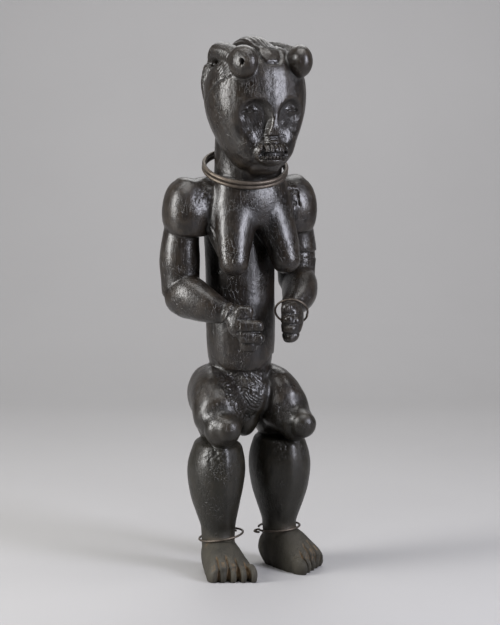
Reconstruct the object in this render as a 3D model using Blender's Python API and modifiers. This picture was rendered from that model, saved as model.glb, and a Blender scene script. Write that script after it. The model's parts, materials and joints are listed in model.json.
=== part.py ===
"""Standing female reliquary figure, carved from one block of dark wood, with five pieces in all:
the figure itself, a coiled wire neck ring, a wire wrist ring and two wire ankle rings.

Metres, +Z up. The figure stands on its soles at z = 0 and faces -Y, so its right side is -X.
Every carved size is in steps, and a step is the figure's height over 640: 1 mm at this height.
Steps are counted from the line through the two ankles, and the floor."""

import math

import bmesh
import bpy
import numpy as np
from mathutils import Matrix, Vector
from mathutils.bvhtree import BVHTree

for stale in list(bpy.data.objects):
    bpy.data.objects.remove(stale)

FIGURE_HEIGHT = 0.640
STEP = FIGURE_HEIGHT / 640
PLACED = (0.0, 4.0, 0.0)  # steps the whole figure is moved, so that its box is centred on the origin

# How finely the wood is cut.
CARVING_GRAIN = 0.0020  # size of the cubes that the joined volumes are cut down to
FIGURE_TRIANGLES = 7100

# Feet and legs. The knees turn outwards, and the feet are set a little apart from each other.
# Where a pair isn't alike, -1 is the figure's right and 1 its left.
KNEES_OUT = math.radians(14)
ANKLES = {-1: (-41.0, 0.0), 1: (43.0, 5.0)}
FOOT_TURNS = {-1: math.radians(6), 1: math.radians(23)}
FOOT_LENGTHS = {-1: 59.0, 1: 54.0}  # from the ankle to the middle of the toes
FOOT_HEIGHTS = {-1: 0.93, 1: 1.0}
FOOT_HALF_WIDTH = 28.0
TOE_SLANT = math.radians(17)
ANKLE_LEVEL = 50.0
ANKLE_HALF = 20.5
CALF_LEVEL = 120.0
CALF_HALF_WIDTH = 34.5
CALF_HALF_DEPTH = 42.0
KNEE_LEVEL = 180.0
KNEE_HALF = 21.5
KNEE_FORWARD = 31.0
KNEECAPS = {-1: (-4.0, 10.5, 1.5), 1: (-1.5, 14.5, 0.0)}  # from the knee: outwards, forwards and up
KNEECAP_HALVES = (16.5, 16.5, 17.0)
THIGH_LEVEL = 205.0
THIGH_HALVES = {-1: 31.5, 1: 29.0}

# Trunk. It stands behind the line of the ankles, and the neck stands in front of it.
TRUNK_BACK = 24.0
TRUNK_HALF = 41.0
BELLY_BOTTOM = 238.0
NECK_BACK = 3.0
NECK_HALF_WIDTH = 41.0
NECK_HALF_DEPTH = 38.0
SHOULDER_LEVEL = 441.5
SHOULDER_OUT = 69.0
DELTOID_OUT = {-1: 70.0, 1: 67.5}
BREAST_TIP = (34.0, -31.0, 377.0)
BREAST_TIP_HALF = 17.5

# Arms.
ARM_OUT = 77.0
ARM_BACK = 29.0
ARM_HALF = 23.5
ELBOW_LEVELS = {-1: 334.0, 1: 339.0}
ELBOW_HALVES = {-1: 24.0, 1: 21.5}
WRISTS = {-1: (-43.0, -33.0, 317.0), 1: (40.0, -34.0, 320.0)}
WRIST_HALF = 13.0
# The back of each hand: from the wrist across, forward and up, then its half sizes.
PALMS = {
    -1: ((0, 0, 0, 13, 13), (2, -12, 0, 11.5, 15), (8, -20, -10, 11, 17), (15, -24, -22, 10, 14), (17, -22, -36, 9, 10)),
    1: ((0, 0, 0, 13, 13), (-4, -11, -7, 13, 14.5), (-9, -19, -17, 13, 13.5), (-13, -24, -31, 10.5, 9)),
}
# The thumb and the fingers, one under the other: start from the wrist, length and half thickness.
FINGERS = {
    -1: (((4, -17, 5), 15, 8.5), ((5, -21, -11), 24, 8.2), ((8, -22, -26), 22, 8.2), ((13, -20, -37), 10, 6.6)),
    1: (((-6, -14, 3), 13, 8.0), ((-8, -20, -10), 12, 7.4), ((-10, -23, -21), 10, 6.8), ((-12, -24, -32), 7, 6.0)),
}
FINGER_HALF_WIDTH = 8.5
FINGERTIPS = {-1: (-21.0, -65.0, 286.0), 1: (22.0, -62.0, 294.0)}

# Head. The face is laid out by levels and widths of its own, the same on both sides.
CHIN_LEVEL = 484.0
HEAD_LEVEL = 570.0
HEAD_HALF_WIDTH = 59.5
HEAD_HALF_DEPTH = 58.0
HEAD_BACK = -16.5
MOUTH_LEVEL = 505.5
MOUTH_HALF = 19.0
NOSE_LEVELS = (527.5, 566.0)
EYE_LEVEL = 555.0
EYE_OUT = 28.0
BROW_OUT = 23.5  # centre of the arc over each eye
BROW_LEVEL = 550.0
BROW_HALF = 21.0
FACE_DEPTH = 9.0

# Coiffure.
KNOB = (36.0, -61.5, 611.5)
KNOB_HALVES = (15.0, 21.5, 19.5)  # across, lengthwise and upright

# Rings of wire. Each one's size comes from the limb that it goes round.
NECK_WIRE = 5.0
NECK_RING_SLACK = 5.4
NECK_RING_TURNS = 2.12
NECK_RING_TILT = (22.0, -4.5)  # degrees: the front hangs low, and the right side a little
NECK_RING_LEVEL = 482.5
NECK_RING_START = math.radians(53)  # where the wire's end lies, from the left towards the back
THIN_WIRE = 2.6
WRIST_RING_SLACK = 5.0
ANKLE_RING_SLACK = 4.0
EYELET_HALF = 2.8
RING_GAP = 0.35  # left between wires, and between a wire and the wood under it


def placed(point):
    """A place in steps from the ankle line, as a place in metres."""
    return Vector(tuple((a + b) * STEP for a, b in zip(point, PLACED)))


def curve_through(rows, per_span):
    """Rows of numbers on a smooth curve through the given rows."""
    rows = np.array(rows, float)
    padded = np.vstack([2 * rows[0] - rows[1], rows, 2 * rows[-1] - rows[-2]])
    made = []
    for k in range(len(rows) - 1):
        a, b, c, d = padded[k : k + 4]
        for t in np.arange(per_span) / per_span:
            straight = 2 * b + (c - a) * t
            bent = (2 * a - 5 * b + 4 * c - d) * t**2 + (3 * b - a - 3 * c + d) * t**3
            made.append((straight + bent) / 2)
    return np.array(made + [rows[-1]])


def loft(rows, across, ends=(0.6, 0.6), square=2.0, sides=32, per_span=5):
    """A closed volume through oval sections. A row is x, y, z, half width, half depth, in steps.

    across points along the width of the sections. The ends are rounded, by that share of the
    end section's size. square is the power of the superellipse: 2 is an oval."""
    rows = curve_through(rows, per_span)
    path, halves = rows[:, :3], np.maximum(rows[:, 3:5], 0.5)
    along = np.gradient(path, axis=0)
    along /= np.linalg.norm(along, axis=1)[:, None]
    first, last = np.mean(halves[0]) * ends[0], np.mean(halves[-1]) * ends[1]
    sections = []
    for turn in np.radians([80, 60, 40, 20]):
        centre = path[0] - along[0] * first * math.sin(turn)
        sections.append((centre, along[0], halves[0] * math.cos(turn)))
    sections += list(zip(path, along, halves))
    for turn in np.radians([20, 40, 60, 80]):
        centre = path[-1] + along[-1] * last * math.sin(turn)
        sections.append((centre, along[-1], halves[-1] * math.cos(turn)))
    angles = np.arange(sides) * 2 * math.pi / sides
    c, s = np.cos(angles), np.sin(angles)
    power = 2 / square
    oval = np.stack([np.sign(c) * abs(c) ** power, np.sign(s) * abs(s) ** power], 1)
    bm = bmesh.new()
    rings = []
    for centre, tangent, half in sections:
        wide = np.array(across, float) - np.dot(across, tangent) * tangent
        wide /= np.linalg.norm(wide)
        deep = np.cross(tangent, wide)
        points = centre + oval[:, :1] * half[0] * wide + oval[:, 1:] * half[1] * deep
        rings.append([bm.verts.new(placed(p)) for p in points])
    for lower, upper in zip(rings, rings[1:]):
        for k in range(sides):
            m = (k + 1) % sides
            bm.faces.new((lower[k], lower[m], upper[m], upper[k]))
    bm.faces.new(rings[0][::-1])
    bm.faces.new(rings[-1])
    keep(bm)


def ball(centre, halves, turn=0.0):
    """An ellipsoid, turned about the upright through its centre by an angle in degrees."""
    bm = bmesh.new()
    bmesh.ops.create_icosphere(bm, subdivisions=4, radius=1.0)
    sized = Matrix.Diagonal(Vector(halves) * STEP).to_4x4()
    turned = Matrix.Rotation(math.radians(turn), 4, "Z")
    moved = Matrix.Translation(placed(centre))
    bmesh.ops.transform(bm, matrix=moved @ turned @ sized, verts=bm.verts)
    keep(bm)


def keep(bm):
    """Adds a volume to those that the figure is joined from."""
    bmesh.ops.recalc_face_normals(bm, faces=bm.faces)
    mesh = bpy.data.meshes.new("volume")
    bm.to_mesh(mesh)
    bm.free()
    VOLUMES.append(mesh)


def leg_point(side, out, forward, level, turn=KNEES_OUT):
    """A place in a leg's own frame: outwards and forwards from the ankle, in steps."""
    x, y = ANKLES[side]
    away = out * math.cos(turn) + forward * math.sin(turn)
    return (x + side * away, y + out * math.sin(turn) - forward * math.cos(turn), level)


def make_leg(side):
    calf = (
        # level, outwards, forwards, half width, half depth
        (22, 0, 1, ANKLE_HALF - 1, ANKLE_HALF),
        (ANKLE_LEVEL, 0, 0, ANKLE_HALF, ANKLE_HALF + 0.5),
        (59, 0, 0, ANKLE_HALF + 0.9, ANKLE_HALF + 2.5),
        (78, 1, -1, 26.3, 31.5),
        (97, 2, -2, 31.3, 38.5),
        (CALF_LEVEL, 2, -2, CALF_HALF_WIDTH, CALF_HALF_DEPTH),
        (138, 1, -1, 33.5, 41),
        (155, 0, 0, 29, 36),
    )
    across = (side * math.cos(KNEES_OUT), math.sin(KNEES_OUT), 0)
    rows = [(*leg_point(side, out, forward, level), w, d) for level, out, forward, w, d in calf]
    loft(rows, across, (0.2, 0.3))

    knee = leg_point(side, 0, KNEE_FORWARD, KNEE_LEVEL)
    ball(knee, (KNEE_HALF + 1, KNEE_HALF - 1, KNEE_HALF + 1))
    out, forward, up = KNEECAPS[side]
    ball(leg_point(side, out, KNEE_FORWARD + forward, KNEE_LEVEL + up), KNEECAP_HALVES)
    thigh = (
        (*leg_point(side, 0, KNEE_FORWARD - 7, KNEE_LEVEL + 3), KNEE_HALF + 4.5, KNEE_HALF + 2),
        (*leg_point(side, 0, 12, 192), THIGH_HALVES[side], 31),
        (side * 40, 8, THIGH_LEVEL + 4, THIGH_HALVES[side] - 1, 33),
        (side * 34, 25, 211, 30.5, 36.5),
        (side * 30, 43, 211, 30.5, 37),
    )
    loft(thigh, across, (0.5, 0.95))
    ball((side * 38, 18, 186), (22, 29, 32))
    ball((side * 38, 15, THIGH_LEVEL - 1), (THIGH_HALVES[side] - 4, 33, 38))


def make_foot(side):
    turn, length = FOOT_TURNS[side], FOOT_LENGTHS[side]
    foot = (
        # share of the length, half width, height of the upper side
        (-0.26, 15, 30),
        (-0.12, 18.5, 42),
        (0.06, 20.5, 51),
        (0.30, 22.5, 47),
        (0.54, 25, 38),
        (0.74, FOOT_HALF_WIDTH - 0.5, 29),
        (0.86, FOOT_HALF_WIDTH - 2, 23),
    )
    below = 14  # the foot reaches this far under the floor before it is cut flat
    rows = []
    for share, half, top in foot:
        top *= FOOT_HEIGHTS[side]
        middle = leg_point(side, 0, share * length, (top - below) / 2, turn)
        rows.append((*middle, half, (top + below) / 2))
    loft(rows, (side * math.cos(turn), math.sin(turn), 0), (0.35, 0.15), square=2.5)
    for k in range(5):
        # From the big toe on the inner side to the little one.
        across = (k - 2) * FOOT_HALF_WIDTH * 0.41
        forward = length - across * math.tan(TOE_SLANT) - 9
        spot = leg_point(side, across, forward, 7.5, turn)
        ball(spot, (6.0 - 0.2 * k, 13, 13.0 - 0.5 * k), side * math.degrees(turn))


def make_trunk():
    trunk = (
        (0, TRUNK_BACK + 2, BELLY_BOTTOM - 16, 30, 28),
        (0, TRUNK_BACK + 1, BELLY_BOTTOM + 2, 35, 36),
        (0, TRUNK_BACK, BELLY_BOTTOM + 24, TRUNK_HALF - 1, TRUNK_HALF),
        (0, TRUNK_BACK, BELLY_BOTTOM + 57, TRUNK_HALF + 1, TRUNK_HALF),
        (0, TRUNK_BACK + 1, BELLY_BOTTOM + 97, TRUNK_HALF + 1, TRUNK_HALF - 2),
        (0, TRUNK_BACK + 2, SHOULDER_LEVEL - 62, TRUNK_HALF + 2, TRUNK_HALF - 3),
        (0, TRUNK_BACK + 2, SHOULDER_LEVEL - 22, TRUNK_HALF + 5, TRUNK_HALF - 5),
        (0, TRUNK_BACK, SHOULDER_LEVEL + 6, TRUNK_HALF + 11, TRUNK_HALF - 9),
        (0, TRUNK_BACK - 4, SHOULDER_LEVEL + 20, TRUNK_HALF + 5, TRUNK_HALF - 13),
    )
    loft(trunk, (1, 0, 0), (0.5, 0.35))
    ball((0, 15, 198), (20, 24, 38))
    ball((0, 0, 214), (27, 20, 28))
    shoulders = (
        (-SHOULDER_OUT, 22, SHOULDER_LEVEL + 3, 27, 27),
        (-42, 19, SHOULDER_LEVEL + 5, 28, 30),
        (0, 17, SHOULDER_LEVEL + 6, 28, 30),
        (42, 19, SHOULDER_LEVEL + 5, 28, 30),
        (SHOULDER_OUT, 22, SHOULDER_LEVEL + 3, 27, 27),
    )
    loft(shoulders, (0, 1, 0), (0.3, 0.3))
    neck = (
        (0, NECK_BACK + 3, SHOULDER_LEVEL - 6, NECK_HALF_WIDTH + 3, NECK_HALF_DEPTH - 2),
        (0, NECK_BACK - 3, SHOULDER_LEVEL + 14, NECK_HALF_WIDTH + 1, NECK_HALF_DEPTH - 1),
        (0, NECK_BACK, CHIN_LEVEL - 14, NECK_HALF_WIDTH, NECK_HALF_DEPTH),
        (0, NECK_BACK - 1, CHIN_LEVEL + 6, NECK_HALF_WIDTH, NECK_HALF_DEPTH),
        (0, NECK_BACK - 4, CHIN_LEVEL + 28, NECK_HALF_WIDTH + 1, NECK_HALF_DEPTH - 1),
        (0, NECK_BACK - 8, CHIN_LEVEL + 54, NECK_HALF_WIDTH + 1, NECK_HALF_DEPTH - 3),
        (0, NECK_BACK - 12, CHIN_LEVEL + 76, NECK_HALF_WIDTH, NECK_HALF_DEPTH - 5),
    )
    loft(neck, (1, 0, 0), (0.3, 0.3))
    chest = (
        (0, -3, SHOULDER_LEVEL + 32, 36, 30),
        (0, -4, SHOULDER_LEVEL + 16, 47, 33),
        (0, -4, SHOULDER_LEVEL - 2, 52, 33),
        (0, -3, SHOULDER_LEVEL - 18, 49, 32),
    )
    loft(chest, (1, 0, 0), (0.5, 0.2), square=2.3)


def make_breast(side):
    x, y, z = BREAST_TIP
    rows = (
        (side * 16, -6, z + 87, 30, 25),
        (side * 21, -12, z + 61, 28.5, 24),
        (side * (x - 7), y + 11.5, z + 38, 24, 21),
        (side * (x - 2.5), y + 5, z + 18, 20.5, 19),
        (side * x, y, z, BREAST_TIP_HALF, BREAST_TIP_HALF),
    )
    loft(rows, (1, 0, 0), (0.5, 0.9))
    fold = (
        (side * (x + 11), 4, z + 57, 12, 18),
        (side * (x + 9), -4, z + 31, 9, 15),
        (side * (x + 6), -14, z + 9, 6, 10),
    )
    loft(fold, (1, 0, 0), (0.5, 0.6))


def make_arm(side):
    elbow, out = ELBOW_LEVELS[side], DELTOID_OUT[side]
    deltoid = (
        (side * (out - 7), 21, SHOULDER_LEVEL + 21, 22.5, 22),
        (side * (out - 2), 22, SHOULDER_LEVEL + 9, 28, 28.5),
        (side * out, 22, SHOULDER_LEVEL - 6, 29.5, 31),
        (side * (out + 0.5), 23, SHOULDER_LEVEL - 22, 28, 29.5),
        (side * (out + 1), 24, SHOULDER_LEVEL - 30, 25, 27),
    )
    loft(deltoid, (1, 0, 0), (0.45, 0.2), square=2.3)
    upper = (
        (side * (SHOULDER_OUT + 2), 25, SHOULDER_LEVEL - 12, ARM_HALF - 3.5, ARM_HALF - 1.5),
        (side * (ARM_OUT - 1), ARM_BACK - 1, SHOULDER_LEVEL - 36, ARM_HALF - 2, ARM_HALF),
        (side * (ARM_OUT + 0.5), ARM_BACK, elbow + 44, ARM_HALF + 0.5, ARM_HALF + 2),
        (side * ARM_OUT, ARM_BACK, elbow + 24, ARM_HALF - 0.5, ARM_HALF + 1.5),
        (side * ARM_OUT, ARM_BACK - 1, elbow + 4, ARM_HALF - 1.5, ARM_HALF + 0.5),
    )
    loft(upper, (1, 0, 0), (0.5, 0.5))
    wrist = np.array(WRISTS[side])
    across = (1, side * 0.6, 0)
    fore = (
        (side * ARM_OUT, ARM_BACK - 3, elbow, ELBOW_HALVES[side] - 1.5, 23.5),
        (side * 73, 12, elbow, ELBOW_HALVES[side] - 0.5, 27.5),
        (side * 61, -12, elbow - 8, 19.5, 22.5),
        (*wrist, WRIST_HALF, WRIST_HALF),
    )
    loft(fore, across, (0.7, 0.3))
    make_hand(side)


def make_hand(side):
    """The back of the hand, with the thumb and three short fingers one under the other."""
    wrist = np.array(WRISTS[side])
    palm = [(*(wrist + (x, y, z)), across, deep) for x, y, z, across, deep in PALMS[side]]
    loft(palm, (side * 0.5, -0.85, 0.3), (0.3, 0.6))
    inwards = np.array((-side * 0.86, -0.50, -0.06))
    for start, length, half in FINGERS[side]:
        root = wrist + start
        rows = [
            (*(root + inwards * (length * share)), half - share, FINGER_HALF_WIDTH - 1.5 * share)
            for share in (0, 0.5, 1)
        ]
        loft(rows, (0, 0, 1), (0.3, 0.7), square=2.4, sides=16)


def make_head():
    back, top = HEAD_BACK, HEAD_LEVEL
    head = (
        (0, back - 26, CHIN_LEVEL + 3, 19, 18),
        (0, back - 23, CHIN_LEVEL + 10, 30, 28),
        (0, back - 17, CHIN_LEVEL + 24, 40, 38),
        (0, back - 10, CHIN_LEVEL + 42, 49, 47),
        (0, back - 4, top - 22, 56.5, 55),
        (0, back, top, HEAD_HALF_WIDTH, HEAD_HALF_DEPTH),
        (0, back, top + 20, HEAD_HALF_WIDTH - 1.5, HEAD_HALF_DEPTH - 3),
        (0, back + 3, top + 36, HEAD_HALF_WIDTH - 8.5, HEAD_HALF_DEPTH - 10),
        (0, back + 7, top + 46, HEAD_HALF_WIDTH - 23.5, HEAD_HALF_DEPTH - 22),
    )
    loft(head, (1, 0, 0), (0.4, 0.2), square=2.2)
    ball((0, back - 44, MOUTH_LEVEL + 1.5), (MOUTH_HALF + 3, 18, 16))

    crest = (
        (0, back - 37, top + 44, 11, 9),
        (0, back - 26, top + 51, 12, 11),
        (0, back - 5, top + 59.5, 14.5, 11),
        (0, back + 19, top + 59.5, 16, 11),
        (0, back + 41, top + 50, 17.5, 12),
        (0, back + 56, top + 32, 19, 12),
        (0, back + 61, top + 10, 20, 12),
        (0, back + 60, top - 8, 20, 10),
    )
    loft(crest, (1, 0, 0), (0.7, 0.4))
    for side in (-1, 1):
        x, y, z = KNOB
        ball((side * x, y, z), KNOB_HALVES, side * -10)
        tress = (
            (side * 26, back + 49, top + 35, 12, 13),
            (side * 31, back + 29, top + 51, 12.5, 15),
            (side * 35, back + 5, top + 51, 12, 14),
            (side * 35.5, back - 17, top + 47, 12.5, 13),
            (side * x, y + 11, z, 11, 12),
        )
        loft(tress, (0, 0, 1), (0.7, 0.3))
        ball((side * 27, back + 43, top + 27), (14, 15, 17))
        flap = (
            (side * 36, back + 41, top + 32, 11, 14),
            (side * 39, back + 43, top + 18, 10, 14),
            (side * 39, back + 43, top + 3, 8.5, 13),
            (side * 37, back + 43, top - 7, 7, 12),
        )
        loft(flap, (1, 0, 0), (0.6, 0.4))


def ramp(value, low, high):
    """0 below low, 1 above high, and a soft rise between them."""
    t = np.clip((value - low) / (high - low), 0, 1)
    return t * t * (3 - 2 * t)


def carve_face(points):
    """Hollows the heart-shaped face and leaves the nose, the eyes and the lips standing.

    Takes and gives back an array of places in steps."""
    x, y, z = abs(points[:, 0]), points[:, 1], points[:, 2]
    front = ramp(-y, 30, 44)
    low, high = NOSE_LEVELS
    # Half width of the heart at each level, narrowing from the cheeks to the corners of the mouth.
    widest = BROW_OUT + BROW_HALF
    levels = (MOUTH_LEVEL - 12, MOUTH_LEVEL, MOUTH_LEVEL + 16, MOUTH_LEVEL + 30, BROW_LEVEL - 8)
    heart = np.interp(z, levels, (8, MOUTH_HALF + 5, 38, 47, widest + 2)) - x
    flank = np.interp(z, (low, low + 8, low + 18, BROW_LEVEL), (6.5, 4.5, 2, BROW_OUT - BROW_HALF))
    cheeks = ramp(heart, 0, 28) * ramp(x, flank, flank + 6)
    arc = BROW_HALF - np.hypot(x - BROW_OUT, np.maximum(z - BROW_LEVEL, 0))
    sockets = ramp(arc, 0, np.interp(x, (BROW_OUT, BROW_OUT + BROW_HALF), (8, 20)))
    above = ramp(z, BROW_LEVEL - 12, BROW_LEVEL + 6)
    hollow = FACE_DEPTH * (cheeks * (1 - above) + sockets * above) * ramp(z, MOUTH_LEVEL - 2, MOUTH_LEVEL + 34)
    eye = 1 - ramp(np.hypot((x - EYE_OUT) / 9, (z - EYE_LEVEL) / 4.5), 0.5, 1.1)
    slit = 1 - ramp(abs(z - EYE_LEVEL), 0.6, 1.8)
    mouth = (1 - ramp(abs(z - MOUTH_LEVEL), 1.2, 2.8)) * (1 - ramp(x, MOUTH_HALF - 4, MOUTH_HALF))
    nose = (1 - ramp(x, flank, flank + 5)) * ramp(z, low - 2.5, low) * (1 - ramp(z, low + 4, high - 12))
    moved = points.copy()
    moved[:, 1] += front * (hollow - 2.2 * eye * (1 - slit) + 4 * mouth - 3.5 * nose)
    return moved


def joined_volumes():
    """One mesh of all the volumes, which still run through each other."""
    bm = bmesh.new()
    for mesh in VOLUMES:
        bm.from_mesh(mesh)
    mesh = bpy.data.meshes.new("carved_figure")
    bm.to_mesh(mesh)
    bm.free()
    return mesh


def settle(obj):
    """Makes the modifiers' result the object's own mesh."""
    graph = bpy.context.evaluated_depsgraph_get()
    mesh = bpy.data.meshes.new_from_object(obj.evaluated_get(graph))
    obj.modifiers.clear()
    obj.data = mesh


def places(mesh):
    found = np.empty(len(mesh.vertices) * 3, np.float32)
    mesh.vertices.foreach_get("co", found)
    return found.reshape(-1, 3).astype(float) / STEP - np.array(PLACED)


def place_all(mesh, points):
    mesh.vertices.foreach_set("co", ((points + np.array(PLACED)) * STEP).astype(np.float32).ravel())
    mesh.update()


def soften(figure):
    """Runs the volumes into each other where the carver left no crease."""
    spots = [((0, -28, 460), 34), ((0, -32, 424), 20), ((0, 20, 468), 38), ((0, -8, 212), 38)]
    for side in (-1, 1):
        x, y = ANKLES[side]
        spots += [
            ((side * 24, -20, 436), 34),
            ((side * 46, 0, 440), 28),
            ((side * 54, 2, 458), 34),
            ((side * 46, 2, 205), 36),
            ((side * 58, 22, 214), 34),
            (leg_point(side, 0, KNEE_FORWARD + 6, KNEE_LEVEL + 14), 26),
            (leg_point(side, 0, KNEE_FORWARD - 12, KNEE_LEVEL - 4), 24),
            ((side * 40, 34, 205), 48),
            (WRISTS[side], 12),
            ((x, y, 44), 26),
            ((side * 66, 20, 330), 26),
        ]
    points = places(figure.data)
    weight = np.zeros(len(points))
    for centre, reach in spots:
        away = np.linalg.norm(points - np.array(centre, float), axis=1)
        weight = np.maximum(weight, 1 - ramp(away, reach * 0.6, reach))
    group = figure.vertex_groups.new(name="run_together")
    for level in (0.25, 0.5, 0.75, 1.0):
        near = np.flatnonzero(abs(weight - level) <= 0.125)
        group.add(near.tolist(), level, "REPLACE")
    smooth = figure.modifiers.new("Run together", "SMOOTH")
    smooth.vertex_group = group.name
    smooth.iterations = 20


def floor_cutter():
    bm = bmesh.new()
    bmesh.ops.create_cube(bm, size=1.0)
    sized = Matrix.Diagonal((FIGURE_HEIGHT, FIGURE_HEIGHT, 0.1, 1))
    bmesh.ops.transform(bm, matrix=Matrix.Translation((0, 0, -0.05)) @ sized, verts=bm.verts)
    mesh = bpy.data.meshes.new("floor_cut")
    bm.to_mesh(mesh)
    bm.free()
    cutter = bpy.data.objects.new("floor_cut", mesh)
    cutter.hide_render = True
    cutter.display_type = "WIRE"
    CUTTERS.objects.link(cutter)
    return cutter


def make_figure():
    for side in (-1, 1):
        make_leg(side)
        make_foot(side)
        make_breast(side)
        make_arm(side)
    make_trunk()
    make_head()
    figure = bpy.data.objects.new("carved_figure", joined_volumes())
    OBJECT.objects.link(figure)
    block = figure.modifiers.new("One block", "REMESH")
    block.mode = "VOXEL"
    block.voxel_size = CARVING_GRAIN
    settle(figure)
    soften(figure)
    scraped = figure.modifiers.new("Scraped", "SMOOTH")
    scraped.iterations = 3
    settle(figure)
    figure.vertex_groups.clear()
    place_all(figure.data, carve_face(places(figure.data)))
    facets = figure.modifiers.new("Facets", "DECIMATE")
    facets.ratio = FIGURE_TRIANGLES / sum(len(p.vertices) - 2 for p in figure.data.polygons)
    soles = figure.modifiers.new("Flat soles", "BOOLEAN")
    soles.operation = "DIFFERENCE"
    soles.solver = "EXACT"
    soles.object = floor_cutter()
    settle(figure)
    figure.data.materials.clear()
    figure.data.materials.append(WOOD)
    figure.data.shade_smooth()
    return figure


def material(name, color, metallic, roughness):
    made = bpy.data.materials.new(name)
    made.use_nodes = True
    surface = made.node_tree.nodes["Principled BSDF"]
    surface.inputs["Base Color"].default_value = (*color, 1)
    surface.inputs["Metallic"].default_value = metallic
    surface.inputs["Roughness"].default_value = roughness
    made.diffuse_color = (*color, 1)
    return made


def ring_frame(normal, start):
    """Two directions across a ring: towards its start, and a quarter turn on."""
    normal = Vector(normal).normalized()
    first = Vector(start) - Vector(start).dot(normal) * normal
    first.normalize()
    return normal, first, normal.cross(first)


def ring_points(halves, wire, turns, frame, per_turn, start=0.0):
    """Places along a wire bent round once or more, each turn lying just clear of the last.

    halves are the ring's half sizes in the frame's two directions, and start is an angle."""
    normal, first, second = frame
    rise = wire + RING_GAP
    made = []
    for k in range(round(turns * per_turn) + 1):
        turned = start + 2 * math.pi * k / per_turn
        up = rise * (k / per_turn - turns / 2)
        made.append(halves[0] * math.cos(turned) * first + halves[1] * math.sin(turned) * second + up * normal)
    return made


def eyelet_points(half, end, before, normal):
    """The curl at a wire's end, turned outwards and lifted clear of the wire that it comes from."""
    tangent = (end - before).normalized()
    outward = tangent.cross(normal)
    if outward.dot(end) < 0:
        outward.negate()
    made = []
    for k in range(1, 12):
        turned = math.radians(30 * k)
        lift = (THIN_WIRE + 2 * RING_GAP) * k / 11
        around = (1 - math.cos(turned)) * outward + math.sin(turned) * tangent
        made.append(end + half * around + lift * normal)
    return made


def rest(points, start, way, wire, tree, reach=30.0):
    """Moves a ring from start along way until its wire lies a gap's width off the wood."""
    clear = (wire / 2 + RING_GAP) * STEP
    way = Vector(way).normalized()
    resting = None
    for k in range(int(reach / 0.1)):
        centre = Vector(start) + way * (0.1 * k)
        moved = [placed(centre + p) for p in points]
        nearest = min(tree.find_nearest(p)[3] for p in moved)
        if nearest < clear:
            if resting is not None:
                break
        else:
            resting = moved
    return resting


def make_wire(name, points, wire, sides_level):
    curve = bpy.data.curves.new(name, "CURVE")
    curve.dimensions = "3D"
    line = curve.splines.new("POLY")
    line.points.add(len(points) - 1)
    for spot, point in zip(line.points, points):
        spot.co = (*point, 1)
    line.use_smooth = True
    curve.bevel_depth = wire / 2 * STEP
    curve.bevel_resolution = sides_level
    curve.use_fill_caps = True
    curve.materials.append(METAL)
    OBJECT.objects.link(bpy.data.objects.new(name, curve))


def make_rings(figure):
    mesh = figure.data
    tree = BVHTree.FromPolygons([v.co for v in mesh.vertices], [tuple(p.vertices) for p in mesh.polygons])

    tilt = Matrix.Rotation(math.radians(NECK_RING_TILT[1]), 3, "Y")
    tilt = tilt @ Matrix.Rotation(math.radians(NECK_RING_TILT[0]), 3, "X")
    frame = ring_frame(tilt @ Vector((0, 0, 1)), (1, 0, 0))
    along = NECK_HALF_DEPTH / math.cos(math.radians(NECK_RING_TILT[0]))
    halves = [half + NECK_RING_SLACK + NECK_WIRE / 2 for half in (NECK_HALF_WIDTH, along)]
    points = ring_points(halves, NECK_WIRE, NECK_RING_TURNS, frame, 40, NECK_RING_START)
    resting = rest(points, (-0.65 * NECK_RING_SLACK, NECK_BACK + 0.5, NECK_RING_LEVEL + 10), (0, 0, -1), NECK_WIRE, tree)
    make_wire("neck_ring", resting, NECK_WIRE, 2)

    wrist, tip = Vector(WRISTS[1]), Vector(FINGERTIPS[1])
    frame = ring_frame(wrist - tip, (1, 0, 0.2))
    half = WRIST_HALF + WRIST_RING_SLACK + THIN_WIRE / 2
    points = ring_points((half, half), THIN_WIRE, 1.03, frame, 36)
    resting = rest(points, wrist + (tip - wrist) * 0.06, (0, 0, -1), THIN_WIRE, tree)
    make_wire("left_wrist_ring", resting, THIN_WIRE, 1)

    half = ANKLE_HALF + ANKLE_RING_SLACK + THIN_WIRE / 2
    x, y = ANKLES[-1]
    frame = ring_frame((-0.13, 0.04, 1), (1, 0.4, 0))
    points = ring_points((half + 0.8, half + 0.8), THIN_WIRE, 1.06, frame, 36)
    resting = rest(points, (x + 3.5, y - 1.0, 62), (0, 0, -1), THIN_WIRE, tree)
    make_wire("right_ankle_ring", resting, THIN_WIRE, 1)

    x, y = ANKLES[1]
    frame = ring_frame((-0.06, 0.04, 1), (-0.94, 0.34, 0))
    points = ring_points((half - 0.8, half - 0.8), THIN_WIRE, 0.98, frame, 36)[::-1]
    points += eyelet_points(EYELET_HALF, points[-1], points[-2], -frame[0])
    resting = rest(points, (x, y, 64), (0, 0, -1), THIN_WIRE, tree)
    make_wire("left_ankle_ring", resting, THIN_WIRE, 1)


VOLUMES = []
OBJECT = bpy.data.collections.new("fang_reliquary_figure")
CUTTERS = bpy.data.collections.new("cutters")
bpy.context.scene.collection.children.link(OBJECT)
bpy.context.scene.collection.children.link(CUTTERS)
CUTTERS.hide_render = True
WOOD = material("oiled_black_wood", (0.022, 0.016, 0.013), 0.0, 0.3)
METAL = material("browned_copper_alloy", (0.14, 0.095, 0.07), 0.85, 0.45)

make_rings(make_figure())
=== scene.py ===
"""The looks of a standing Fang reliquary figure: carved and handled black wood, and browned wire rings.

The wood is cut a second time, finer, from the same volumes as the CAD model, and then takes the
face, the teeth, the plaits, the fingers, the toes, the repair and the wear. Metres, +Z up; the
figure faces -Y. Carved sizes are in steps, and a step is the figure's height over 640."""

import json
import math

import bmesh
import bpy
import numpy as np
from mathutils import Matrix, Vector

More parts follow.
